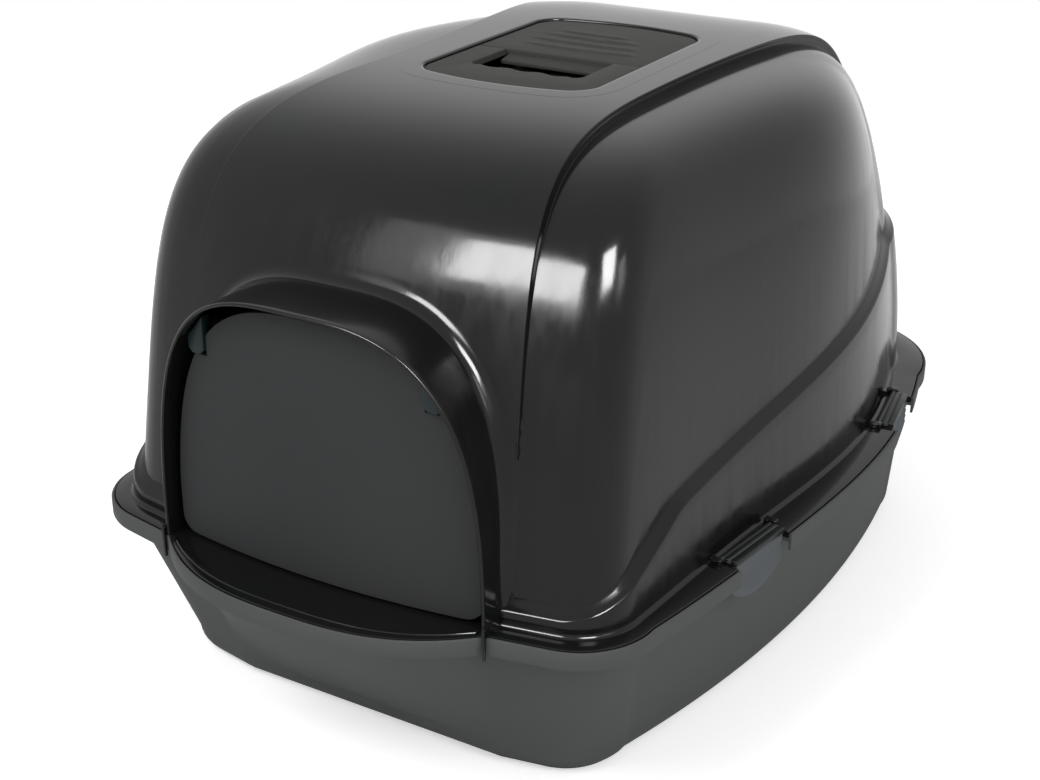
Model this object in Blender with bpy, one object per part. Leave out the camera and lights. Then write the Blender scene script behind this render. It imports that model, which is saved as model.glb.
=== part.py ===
"""Hooded cat litter box: a tray with a low entry lip, a domed hood with an arched visor and a
swinging flap, a carry handle and a filter cover sunk in the top, and four side clips.

Metres, +Z up, the doorway faces -Y, and the object is symmetric about the plane X = 0.
The origin is on the floor, under the middle of the object's box.
"""

import math

import bpy
import numpy as np
from mathutils import Matrix

# Fits
GAP = 0.0003
RUN = 0.0004
WALL = 0.0025

# Tray rim, seen from above
RIM_FOOT_X = 0.1210
RIM_FOOT_Y = -0.2795
RIM_CORNER_X = 0.2060
RIM_REAR_X = 0.2240
RIM_REAR_Y = 0.3215
RIM_BULGE = 0.0256
RIM_SKEW = 0.0035
RIM_FRONT_RADIUS = 0.0530
RIM_REAR_RADIUS = 0.0965
RIM_SWEEP = 0.1845
LIP_BOW = 0.0415
LIP_POWER = 2.8

# Tray bottom, seen from above
BASE_FRONT_Y = RIM_FOOT_Y + 0.0455
BASE_CORNER_X = RIM_CORNER_X - 0.0340
BASE_REAR_X = RIM_REAR_X - 0.0180
BASE_REAR_Y = RIM_REAR_Y - 0.0285
BASE_BULGE = 0.0215
BASE_FRONT_RADIUS = 0.0470
BASE_REAR_RADIUS = 0.0750
BASE_EDGE = 0.0120
FOOT_HEIGHT = 0.0030
FOOT_INSET = 0.0080

# Tray rim section
RIM_TOP = 0.1275
BAND_HEIGHT = 0.0125
BAND_WALL = 0.0020
SHELF_DROP = 0.0040
SIDE_OVERHANG = 0.0120
LIP_OVERHANG = 0.0045

# Hood: flange, skirt and dome
FLANGE_THICKNESS = 0.0045
SKIRT_PROUD = 0.0070
LEDGE_FRONT_Z = RIM_TOP + 0.0125
LEDGE_SIDE_RISE = 0.0300
LEDGE_REAR_Z = RIM_TOP + 0.1205
LEDGE_HEIGHT = 0.0070
DOME_FRONT_Y = RIM_FOOT_Y + 0.0225
DOME_REAR_Y = RIM_REAR_Y - 0.0205
DOME_CORNER_X = RIM_CORNER_X - 0.0210
DOME_REAR_X = RIM_REAR_X - 0.0300
DOME_BULGE = 0.0190
DOME_SKEW = 0.0065
DOME_FRONT_RADIUS = 0.0350
DOME_REAR_RADIUS = 0.0840
DOME_FOOT_X = RIM_FOOT_X + 0.0030
FRONT_BOW = RIM_SWEEP * DOME_FOOT_X / 2
DOME_CENTRE_Y = 0.0400
DOME_START_Z = RIM_TOP + 0.0075
TOP_Z = 0.4000
CHEEK_DROP = 0.0074
SPINE_PROUD = 0.0030
SPINE_WAIST_X = 0.0985
SPINE_WAIST_Y = -0.0400
SPINE_SPREAD_FRONT = 0.62
SPINE_SPREAD_REAR = 0.30
SPINE_STEP = 0.0040

# Visor and doorway
ARCH_BASE_Z = RIM_TOP - 0.0175
ARCH_HALF_WIDTH = RIM_FOOT_X + 0.0012
ARCH_HEIGHT = 0.2040
ARCH_POWER = 3.05
VISOR_FRONT_Y = RIM_FOOT_Y
VISOR_BOW = 0.0140
VISOR_BACK_Y = DOME_FRONT_Y + 0.0570
TONGUE_DROP = 0.0150
TONGUE_WIDTH = 0.0028

# Flap
FLAP_SIDE_GAP = 0.0034
FLAP_TOP_GAP = 0.0060
FLAP_SILL_GAP = 0.0014
FLAP_HALF_WIDTH = ARCH_HALF_WIDTH - WALL - FLAP_SIDE_GAP
FLAP_HEIGHT = ARCH_HEIGHT - WALL - FLAP_TOP_GAP
FLAP_POWER = 2.8
FLAP_BOTTOM_Z = RIM_TOP + FLAP_SILL_GAP
FLAP_CORNER = 0.0120
FLAP_EDGE_Y = VISOR_FRONT_Y + 0.0125
FLAP_BOW = VISOR_BOW - 0.0035
FLAP_THICKNESS = 0.0030
HINGE_X = FLAP_HALF_WIDTH - 0.0360
HINGE_Z = ARCH_BASE_Z + ARCH_HEIGHT - 0.0420
HINGE_BARREL = 0.0120
HINGE_RADIUS = 0.0034
HINGE_PIN_RADIUS = 0.0012
BRACKET_WIDTH = 0.0120
BRACKET_DEPTH = 0.0080
BRACKET_DROP = 0.0080

# Panel on top: recess, carry handle and filter cover
PANEL_HALF_WIDTH = 0.0665
PANEL_FRONT_Y = -0.0562
PANEL_REAR_Y = 0.1238
PANEL_BOW = 0.0115
PANEL_CORNER = 0.0150
PANEL_DEPTH = 0.0260
PANEL_LEDGE = 0.0035
PANEL_TOP_Z = TOP_Z - 0.0015
PANEL_THICKNESS = 0.0045
PANEL_CLEARANCE = 0.0012
SPLIT_Y = 0.0262
SPLIT_BEVEL = 0.0016
SLOT_HALF_WIDTH = 0.0430
SLOT_FRONT_Y = -0.0250
SLOT_RADIUS = 0.0080
PANEL_PIN_RADIUS = 0.0015
PANEL_BARREL_RADIUS = 0.0036
PANEL_BARREL_LENGTH = 0.0140
HANDLE_AXIS_BACK = 0.0087
COVER_AXIS_BACK = 0.0055
FILTER_THICKNESS = 0.0080
FILTER_MARGIN = 0.0080
GRILLE_SLOTS = 7
GRILLE_SLOT_WIDTH = 0.0040

# Side clips
CLIP_LENGTH = 0.0600
CLIP_FRONT_Y = -0.0998
CLIP_REAR_Y = 0.1500
CLIP_AXIS_INSET = 0.0165
CLIP_AXIS_RISE = 0.0008
CLIP_FACE_INSET = 0.0050
CLIP_PLATE = 0.0025
CLIP_END_DROP = 0.0250
CLIP_MIDDLE_DROP = 0.0355
CLIP_PIN_RADIUS = 0.0012
CLIP_BARREL_RADIUS = 0.0025
CLIP_SIDE_GAP = 0.0008
EAR_LENGTH = 0.0050
EAR_RISE = 0.0032

RIGHT = 1
LEFT = -1


def clear_scene():
    for old in list(bpy.data.objects):
        bpy.data.objects.remove(old)


def material(name, colour, roughness):
    made = bpy.data.materials.new(name)
    made.use_nodes = True
    shader = made.node_tree.nodes["Principled BSDF"]
    shader.inputs["Base Color"].default_value = (*colour, 1.0)
    shader.inputs["Roughness"].default_value = roughness
    made.diffuse_color = (*colour, 1.0)
    return made


def add_object(name, points, faces, finish=None):
    mesh = bpy.data.meshes.new(name)
    mesh.from_pydata([tuple(map(float, p)) for p in points], [], faces)
    mesh.update()
    made = bpy.data.objects.new(name, mesh)
    bpy.context.scene.collection.objects.link(made)
    if finish is not None:
        mesh.materials.append(finish)
    return made


def smooth(piece, degrees=35.0):
    piece.data.shade_smooth()
    piece.data.set_sharp_from_angle(angle=math.radians(degrees))
    return piece


def helper(piece):
    piece.hide_render = True
    piece.display_type = "WIRE"
    return piece


def boolean(piece, other, operation):
    made = piece.modifiers.new(operation.lower() + "_" + other.name, "BOOLEAN")
    made.operation = operation
    made.solver = "EXACT"
    made.object = other
    helper(other)


def loft(name, rings, finish=None):
    """A closed solid through rings of equally many points, listed from bottom to top."""
    count = len(rings[0])
    points = [p for ring in rings for p in ring]
    faces = [tuple(range(count))[::-1]]
    for level in range(len(rings) - 1):
        low = level * count
        high = low + count
        for i in range(count):
            j = (i + 1) % count
            faces.append((low + i, low + j, high + j, high + i))
    top = (len(rings) - 1) * count
    faces.append(tuple(top + i for i in range(count)))
    return add_object(name, points, faces, finish)


def half_arc(centre, radius, start, end, count):
    angles = np.linspace(start, end, count)
    return np.stack(
        [centre[0] + radius * np.cos(angles), centre[1] + radius * np.sin(angles)], axis=1
    )


def plan(foot_x, foot_y, corner_x, rear_x, rear_y, bulge, front_radius, rear_radius, sweep, skew):
    """The right half of an outline seen from above, from the middle of the front to the rear."""
    across = np.linspace(0.0, foot_x, 6)
    front = np.stack([across, np.full(len(across), foot_y)], axis=1)
    turn = math.pi / 2 - math.atan(sweep)
    corner_y = foot_y + sweep * (corner_x - foot_x)
    along = np.array([1.0, sweep]) / math.hypot(1.0, sweep)
    inward = np.array([-along[1], along[0]])
    tangent = np.array([corner_x, corner_y]) - along * front_radius * math.tan(turn / 2)
    centre = tangent + inward * front_radius
    start = math.atan2(-inward[1], -inward[0])
    corner = half_arc(centre, front_radius, start, start + turn, 6)
    side_start = corner[-1][1]
    side_end = rear_y - rear_radius
    share = np.linspace(0.0, 1.0, 11)[1:]
    side = np.stack(
        [
            corner_x
            + (rear_x - corner_x) * share
            + 4.0 * bulge * share * (1.0 - share)
            - skew * np.sin(2.0 * math.pi * share),
            side_start + (side_end - side_start) * share,
        ],
        axis=1,
    )
    rear = half_arc((rear_x - rear_radius, side_end), rear_radius, 0.0, math.pi / 2, 7)[1:]
    middle = np.array([[(rear_x - rear_radius) / 2, rear_y], [0.0, rear_y]])
    return np.concatenate([front, corner, side, rear, middle])


def whole(half):
    """The full outline, anticlockwise from above, from its right half."""
    left = half[1:-1][::-1] * [-1.0, 1.0]
    return np.concatenate([half, left])


def at_height(outline, height):
    heights = np.broadcast_to(height, (len(outline),))
    return np.column_stack([outline, heights])


def rim_outline(inset=0.0, lip_inset=None):
    """The tray's rim, drawn in by an inset that may differ at the lip."""
    lip_inset = inset if lip_inset is None else lip_inset
    half = plan(
        RIM_FOOT_X,
        RIM_FOOT_Y + inset,
        RIM_CORNER_X - inset,
        RIM_REAR_X - inset,
        RIM_REAR_Y - inset,
        RIM_BULGE,
        RIM_FRONT_RADIUS - 0.6 * inset,
        RIM_REAR_RADIUS - inset,
        RIM_SWEEP,
        RIM_SKEW,
    )
    lip = half[:, 0] < RIM_FOOT_X - 1e-6
    bow = LIP_BOW * (1.0 - (half[lip, 0] / RIM_FOOT_X) ** LIP_POWER)
    blend = 1.0 - (half[lip, 0] / RIM_FOOT_X) ** 6
    half[lip, 1] += (lip_inset - inset) * blend - bow
    return whole(half)


def base_outline(inset=0.0):
    return whole(
        plan(
            RIM_FOOT_X * BASE_CORNER_X / RIM_CORNER_X,
            BASE_FRONT_Y + inset,
            BASE_CORNER_X - inset,
            BASE_REAR_X - inset,
            BASE_REAR_Y - inset,
            BASE_BULGE,
            BASE_FRONT_RADIUS - inset,
            BASE_REAR_RADIUS - inset,
            0.0,
            0.0,
        )
    )


def wall_outline(share, inset):
    """The tray's wall, from its bottom edge (share 0) to under the rim (share 1)."""
    top = rim_outline(SIDE_OVERHANG + inset, LIP_OVERHANG + inset)
    return base_outline(inset) * (1.0 - share) + top * share


def make_base_pan(finish):
    band_bottom = RIM_TOP - BAND_HEIGHT
    shelf = RIM_TOP - SHELF_DROP
    rings = [
        at_height(base_outline(FOOT_INSET), 0.0),
        at_height(base_outline(FOOT_INSET), FOOT_HEIGHT),
        at_height(base_outline(FOOT_INSET * 0.75), FOOT_HEIGHT + 0.0002),
        at_height(base_outline(BASE_EDGE * 0.2), FOOT_HEIGHT + BASE_EDGE * 0.35),
        at_height(base_outline(), FOOT_HEIGHT + BASE_EDGE),
    ]
    low = FOOT_HEIGHT + BASE_EDGE
    under = shelf - WALL
    for share in (0.35, 0.7, 1.0):
        height = low + (under - low) * share
        rings.append(at_height(wall_outline(share, 0.0), height))
    rings += [
        at_height(rim_outline(BAND_WALL), under + 0.0001),
        at_height(rim_outline(BAND_WALL), band_bottom),
        at_height(rim_outline(), band_bottom),
        at_height(rim_outline(), RIM_TOP - 0.0008),
        at_height(rim_outline(0.0006), RIM_TOP),
        at_height(rim_outline(BAND_WALL), RIM_TOP),
        at_height(rim_outline(BAND_WALL), shelf),
        at_height(wall_outline(1.0, WALL), shelf - 0.0001),
    ]
    for share in (0.7, 0.35, 0.0):
        height = low + (under - low) * share
        rings.append(at_height(wall_outline(share, WALL), height))
    rings.append(at_height(base_outline(BASE_EDGE), FOOT_HEIGHT + WALL))
    pan = loft("base_pan", rings, finish)
    for name, side, middle, turn in clip_frames():
        reach = CLIP_LENGTH / 2 + CLIP_SIDE_GAP
        notch = box(
            f"rim_notch_{name}",
            (-CLIP_FACE_INSET - CLIP_PLATE - RUN * 2, -reach, -CLIP_MIDDLE_DROP),
            (0.0100, reach, 0.0100),
        )
        boolean(pan, placed(notch, side, middle, turn), "DIFFERENCE")
    return smooth(pan)


def hood_plan(outset):
    """The dome's base outline, drawn out by an outset, right half: its front is bowed forward."""
    half = plan(
        DOME_FOOT_X,
        DOME_FRONT_Y - outset,
        DOME_CORNER_X + outset,
        DOME_REAR_X + outset,
        DOME_REAR_Y + outset,
        DOME_BULGE,
        DOME_FRONT_RADIUS + outset,
        DOME_REAR_RADIUS + outset,
        RIM_SWEEP,
        DOME_SKEW,
    )
    front = half[:, 1] < DOME_FRONT_Y - outset + 1e-6
    half[front, 1] -= FRONT_BOW * (1.0 - (half[front, 0] / DOME_FOOT_X) ** 2)
    return half


FRONT_DRAFT = 0.124
FRONT_POWER = 5.6
REAR_DRAFT = -0.030
REAR_POWER = 5.3
SIDE_DRAFT = 0.056
SIDE_POWER = 8.5
REAR_TAPER = 0.46
FRONT_TAPER = 0.047
TAPER_LENGTH = 0.27


def shrink(rise, front):
    """How far the dome has drawn in at a share of its height: along Y, and across X."""
    draft = np.where(front, FRONT_DRAFT, REAR_DRAFT)
    power = np.where(front, FRONT_POWER, REAR_POWER)
    along = (1.0 - draft * rise) * (1.0 - rise**power) ** (1.0 / power)
    across = (1.0 - SIDE_DRAFT * rise) * (1.0 - rise**SIDE_POWER) ** (1.0 / SIDE_POWER)
    return along, across


def side_taper(y, rise, front):
    """How far the sides draw in towards the front and the rear at a share of the height."""
    reach = (y - DOME_CENTRE_Y) / TAPER_LENGTH
    return 1.0 - rise**2 * np.where(front, FRONT_TAPER, REAR_TAPER) * reach**2


def drafted(outline, height, top):
    """An outline of the dome's foot, drawn in as the dome is at this height."""
    x, y = outline[:, 0], outline[:, 1]
    front = y < DOME_CENTRE_Y
    rise = np.clip((height - DOME_START_Z) / (top - DOME_START_Z), 0.0, 1.0)
    along, across = shrink(rise, front)
    new_y = DOME_CENTRE_Y + along * (y - DOME_CENTRE_Y)
    across = across * side_taper(new_y, rise, front)
    return np.column_stack([x * across, new_y, np.broadcast_to(height, x.shape)])


def inside_dome(x, y, z, outset, top):
    """Whether each point lies inside the dome of this outset and top height."""
    outline = hood_plan(outset)
    rise = np.clip((z - DOME_START_Z) / (top - DOME_START_Z), 0.0, 1.0)
    front = y < DOME_CENTRE_Y
    along, across = shrink(rise, front)
    across = across * side_taper(y, rise, front)
    flat_y = DOME_CENTRE_Y + (y - DOME_CENTRE_Y) / np.maximum(along, 1e-6)
    edge = np.interp(flat_y, outline[:, 1], outline[:, 0], left=0.0, right=0.0)
    lies_in = (np.abs(x) < edge * np.maximum(across, 1e-6)) & (z < top)
    return lies_in & (flat_y > outline[0, 1]) & (flat_y < outline[-1, 1])


def dome_reach(direction, outset, top, base_z):
    """How far the dome's surface lies from the middle of its base, along unit directions."""
    near = np.zeros(direction.shape[:-1])
    far = np.full(direction.shape[:-1], 0.6)
    for _ in range(44):
        middle = (near + far) / 2
        x = direction[..., 0] * middle
        y = DOME_CENTRE_Y + direction[..., 1] * middle
        z = base_z + direction[..., 2] * middle
        within = inside_dome(x, y, z, outset, top)
        near = np.where(within, middle, near)
        far = np.where(within, far, middle)
    return (near + far) / 2


def spine_half_width(y):
    spread = np.where(y < SPINE_WAIST_Y, SPINE_SPREAD_FRONT, SPINE_SPREAD_REAR)
    return SPINE_WAIST_X + spread * (y - SPINE_WAIST_Y) ** 2


def dome_direction(turn, tilt):
    return np.stack(
        [
            np.sin(tilt),
            -np.cos(tilt) * np.cos(turn),
            np.cos(tilt) * np.sin(turn),
        ],
        axis=-1,
    )


def spine_tilt(turns, outset, top, base_z):
    """The sideways tilt at which each section of the dome meets the edge of the raised band."""
    low = np.zeros_like(turns)
    high = np.full_like(turns, math.pi / 2 - 0.05)
    for _ in range(40):
        middle = (low + high) / 2
        direction = dome_direction(turns, middle)
        reach = dome_reach(direction, outset, top, base_z)
        x = direction[..., 0] * reach
        y = DOME_CENTRE_Y + direction[..., 1] * reach
        narrow = x < spine_half_width(y)
        low = np.where(narrow, middle, low)
        high = np.where(narrow, high, middle)
    return (low + high) / 2


def section_turns(count):
    """Turns about the dome's middle, closer together where its profile curves more."""
    fine = np.linspace(0.0, math.pi, 721)
    direction = dome_direction(fine, np.zeros_like(fine))
    reach = dome_reach(direction, 0.0, TOP_Z, DOME_START_Z)
    profile = direction[:, 1:] * reach[:, None]
    step = np.diff(profile, axis=0)
    heading = np.unwrap(np.arctan2(step[:, 1], step[:, 0]))
    turning = np.abs(np.gradient(heading))
    cost = np.hypot(step[:, 0], step[:, 1]) / 0.9 + turning / math.pi
    total = np.concatenate([[0.0], np.cumsum(cost)])
    return np.interp(np.linspace(0.0, total[-1], count), total, fine)


def dome_grid(outset, base_z, turn_count, spine_count, cheek_count):
    """Points of the dome by section (front to rear) and by tilt (left to right)."""
    turns = section_turns(turn_count)
    cheek_top = TOP_Z - CHEEK_DROP + outset
    spine_top = TOP_Z + outset
    edge = spine_tilt(turns, outset, cheek_top, base_z)
    step = np.arctan(SPINE_STEP / 0.25)
    spine_share = np.linspace(0.0, 1.0, spine_count)
    cheek_share = np.linspace(0.0, 1.0, cheek_count) ** 0.9
    tilts = [edge * share for share in spine_share]
    outer_start = edge + step
    tilts += [outer_start + (math.pi / 2 - outer_start) * share for share in cheek_share]
    tilts = np.array(tilts).T
    on_spine = np.arange(tilts.shape[1]) < spine_count
    direction = dome_direction(turns[:, None], tilts)
    low = dome_reach(direction, outset, cheek_top, base_z)
    high = dome_reach(direction, outset + SPINE_PROUD, spine_top, base_z)
    reach = np.where(on_spine[None, :], high, low)
    reach[:, -1] = reach[0, -1]
    right = direction * reach[..., None] + [0.0, DOME_CENTRE_Y, base_z]
    left = right[:, 1:][:, ::-1] * [-1.0, 1.0, 1.0]
    return np.concatenate([left, right], axis=1)


def make_dome(name, outset, base_z):
    """The dome as a closed solid with a flat bottom."""
    grid = dome_grid(outset, base_z, 27, 4, 9)
    sections, across = grid.shape[:2]
    inner = grid[:, 1:-1]
    width = across - 2
    points = [tuple(p) for row in inner for p in row]
    left_pole = len(points)
    points.append(tuple(grid[0, 0]))
    right_pole = len(points)
    points.append(tuple(grid[0, -1]))
    faces = []
    for s in range(sections - 1):
        row = s * width
        above = row + width
        for i in range(width - 1):
            faces.append((row + i, row + i + 1, above + i + 1, above + i))
        faces.append((left_pole, row, above))
        faces.append((row + width - 1, right_pole, above + width - 1))
    last = (sections - 1) * width
    bottom = [left_pole] + [last + i for i in range(width)] + [right_pole]
    bottom += [width - 1 - i for i in range(width)]
    faces.append(tuple(bottom))
    return add_object(name, points, faces)


def ledge_height(outline):
    """The height of the ledge's lower edge: low at the front, climbing along the sides."""
    y = outline[:, 1]
    share = np.clip((y - DOME_FRONT_Y) / (DOME_REAR_Y - DOME_FRONT_Y), 0.0, 1.0)
    rise = LEDGE_SIDE_RISE * np.clip(share / 0.16, 0.0, 1.0) ** 1.2
    climb = (LEDGE_REAR_Z - LEDGE_FRONT_Z - LEDGE_SIDE_RISE) * share
    return LEDGE_FRONT_Z + rise + climb


def make_skirt(name, outset, bottom, with_flange):
    """The lower, proud part of the hood's wall as a closed solid, with the flange or without."""
    skirt = whole(hood_plan(SKIRT_PROUD + outset))
    ledge = ledge_height(skirt) + outset
    top = TOP_Z - CHEEK_DROP + outset
    flange_top = RIM_TOP - SHELF_DROP + GAP + FLANGE_THICKNESS
    rings = []
    if with_flange:
        edge = BAND_WALL + RUN
        rings += [
            at_height(rim_outline(edge), bottom),
            at_height(rim_outline(edge), flange_top - 0.0010),
            at_height(rim_outline(edge + 0.0010), flange_top),
            at_height(skirt, flange_top + 0.0004),
        ]
    else:
        rings.append(at_height(skirt, bottom))
    for share in (0.34, 0.67, 1.0):
        rings.append(drafted(skirt, flange_top + (ledge - flange_top) * share, top))
    rings.append(drafted(whole(hood_plan(outset)), ledge + LEDGE_HEIGHT, top))
    piece = loft(name, rings)
    cap = len(piece.data.polygons) - 1
    count = len(skirt)
    points = [tuple(v.co) for v in piece.data.vertices]
    faces = [tuple(p.vertices) for i, p in enumerate(piece.data.polygons) if i != cap]
    first = len(points) - count
    peak = len(points)
    points.append((0.0, DOME_CENTRE_Y, LEDGE_REAR_Z))
    for i in range(count):
        faces.append((first + i, first + (i + 1) % count, peak))
    bpy.data.objects.remove(piece)
    return add_object(name, points, faces)


def arch_points(half_width, height, bottom, power, count):
    """An arch in the XZ plane from its right foot over the top to its left foot."""
    start = math.asin(((bottom - ARCH_BASE_Z) / height) ** (power / 2))
    angles = np.linspace(start, math.pi - start, count)
    x = half_width * np.sign(np.cos(angles)) * np.abs(np.cos(angles)) ** (2 / power)
    z = ARCH_BASE_Z + height * np.sin(angles) ** (2 / power)
    return np.stack([x, z], axis=1)


def visor_front(x):
    return VISOR_FRONT_Y - VISOR_BOW * (1.0 - (x / ARCH_HALF_WIDTH) ** 2)


def prism(name, outline, front, back):
    """An outline in the XZ plane, made solid from a front depth to a back depth."""
    front_ring = np.column_stack([outline[:, 0], np.broadcast_to(front, len(outline)), outline[:, 1]])
    back_ring = np.column_stack([outline[:, 0], np.broadcast_to(back, len(outline)), outline[:, 1]])
    return loft(name, [back_ring, front_ring])


def box(name, low, high, finish=None):
    x0, y0, z0 = low
    x1, y1, z1 = high
    ring = np.array([[x0, y0], [x1, y0], [x1, y1], [x0, y1]])
    return loft(name, [at_height(ring, z0), at_height(ring, z1)], finish)


def panel_end(inset, end, ledge=0.0):
    """The front (end -1) or the rear (end 1) of the top panel's outline, bowed outwards."""
    half = PANEL_HALF_WIDTH - inset
    radius = PANEL_CORNER - inset
    tip = (PANEL_REAR_Y if end > 0 else PANEL_FRONT_Y) - end * (inset + ledge)
    start = 0.0 if end > 0 else math.pi
    corner = end * (half - radius)
    level = tip - end * radius
    middle = np.linspace(corner, -corner, 9)[1:-1]
    outline = np.concatenate(
        [
            half_arc((corner, level), radius, start, start + math.pi / 2, 6),
            np.stack([middle, np.full(len(middle), tip)], axis=1),
            half_arc((-corner, level), radius, start + math.pi / 2, start + math.pi, 6),
        ]
    )
    outline[:, 1] += end * PANEL_BOW * (1.0 - (outline[:, 0] / half) ** 2)
    return outline


def panel_ring(inset, ledge=0.0):
    return np.concatenate([panel_end(inset, -1, ledge), panel_end(inset, 1, ledge)])


def rounded_ring(half_width, front, rear, radius, steps=6):
    """A rounded rectangle seen from above, anticlockwise."""
    corners = (
        (half_width - radius, front + radius, -math.pi / 2),
        (half_width - radius, rear - radius, 0.0),
        (radius - half_width, rear - radius, math.pi / 2),
        (radius - half_width, front + radius, math.pi),
    )
    parts = [
        half_arc((cx, cy), radius, start, start + math.pi / 2, steps) for cx, cy, start in corners
    ]
    return np.concatenate(parts)


def cylinder(name, start, end, radius, sides=16, finish=None):
    """A round bar from one point to another."""
    start = np.array(start, float)
    end = np.array(end, float)
    axis = (end - start) / np.linalg.norm(end - start)
    side = np.cross(axis, [0.0, 0.0, 1.0] if abs(axis[2]) < 0.9 else [1.0, 0.0, 0.0])
    side /= np.linalg.norm(side)
    other = np.cross(axis, side)
    angles = np.arange(sides) * 2 * math.pi / sides
    ring = radius * (np.outer(np.cos(angles), side) + np.outer(np.sin(angles), other))
    made = loft(name, [start + ring, end + ring], finish)
    return made


def clip_frames():
    """Where each clip's hinge lies: name, middle of the axis, and the turn about +Z."""
    half = plan(
        RIM_FOOT_X,
        RIM_FOOT_Y,
        RIM_CORNER_X,
        RIM_REAR_X,
        RIM_REAR_Y,
        RIM_BULGE,
        RIM_FRONT_RADIUS,
        RIM_REAR_RADIUS,
        RIM_SWEEP,
        RIM_SKEW,
    )
    flange_top = RIM_TOP - SHELF_DROP + GAP + FLANGE_THICKNESS
    frames = []
    for row, y in (("front", CLIP_FRONT_Y), ("rear", CLIP_REAR_Y)):
        ends = np.interp([y - CLIP_LENGTH / 2, y + CLIP_LENGTH / 2], half[10:22, 1], half[10:22, 0])
        outermost = np.interp(y, half[10:22, 1], half[10:22, 0])
        turn = -math.atan2(ends[1] - ends[0], CLIP_LENGTH)
        for side, name in ((RIGHT, "right"), (LEFT, "left")):
            middle = (side * outermost, y, flange_top + CLIP_AXIS_RISE)
            frames.append((f"{row}_{name}", side, middle, side * turn))
    return frames


def placed(piece, side, middle, turn):
    """Puts a piece that was built for the right side, its rim at X = 0, in its place."""
    piece.matrix_world = Matrix.Translation(middle) @ Matrix.Rotation(turn, 4, "Z")
    if side == LEFT:
        for vertex in piece.data.vertices:
            vertex.co.x = -vertex.co.x
        piece.data.flip_normals()
    return piece


def make_panel_recess(hood):
    wall = panel_ring(-WALL)
    floor = PANEL_TOP_Z - PANEL_DEPTH
    ledge = PANEL_TOP_Z - PANEL_THICKNESS - GAP
    block = loft(
        "recess_wall",
        [at_height(wall, floor - WALL), at_height(wall, TOP_Z - WALL / 2)],
    )
    boolean(hood, block, "UNION")
    lower = panel_ring(0.0, PANEL_LEDGE)
    upper = panel_ring(0.0)
    cut = loft(
        "recess_cut",
        [
            at_height(lower, floor),
            at_height(lower, ledge),
            at_height(upper, ledge + 0.00005),
            at_height(upper, TOP_Z + 0.02),
        ],
    )
    boolean(hood, cut, "DIFFERENCE")
    bay_front = SPLIT_Y + COVER_AXIS_BACK + PANEL_BARREL_RADIUS + FILTER_MARGIN / 2
    bay_rear = PANEL_REAR_Y - PANEL_LEDGE - FILTER_MARGIN
    pitch = (bay_rear - bay_front) / GRILLE_SLOTS
    for i in range(GRILLE_SLOTS):
        middle = bay_front + pitch * (i + 0.5)
        slot = box(
            f"grille_slot_{i}",
            (-PANEL_HALF_WIDTH + FILTER_MARGIN * 2, middle - GRILLE_SLOT_WIDTH / 2, floor - 0.01),
            (PANEL_HALF_WIDTH - FILTER_MARGIN * 2, middle + GRILLE_SLOT_WIDTH / 2, floor + 0.01),
        )
        boolean(hood, slot, "DIFFERENCE")


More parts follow.
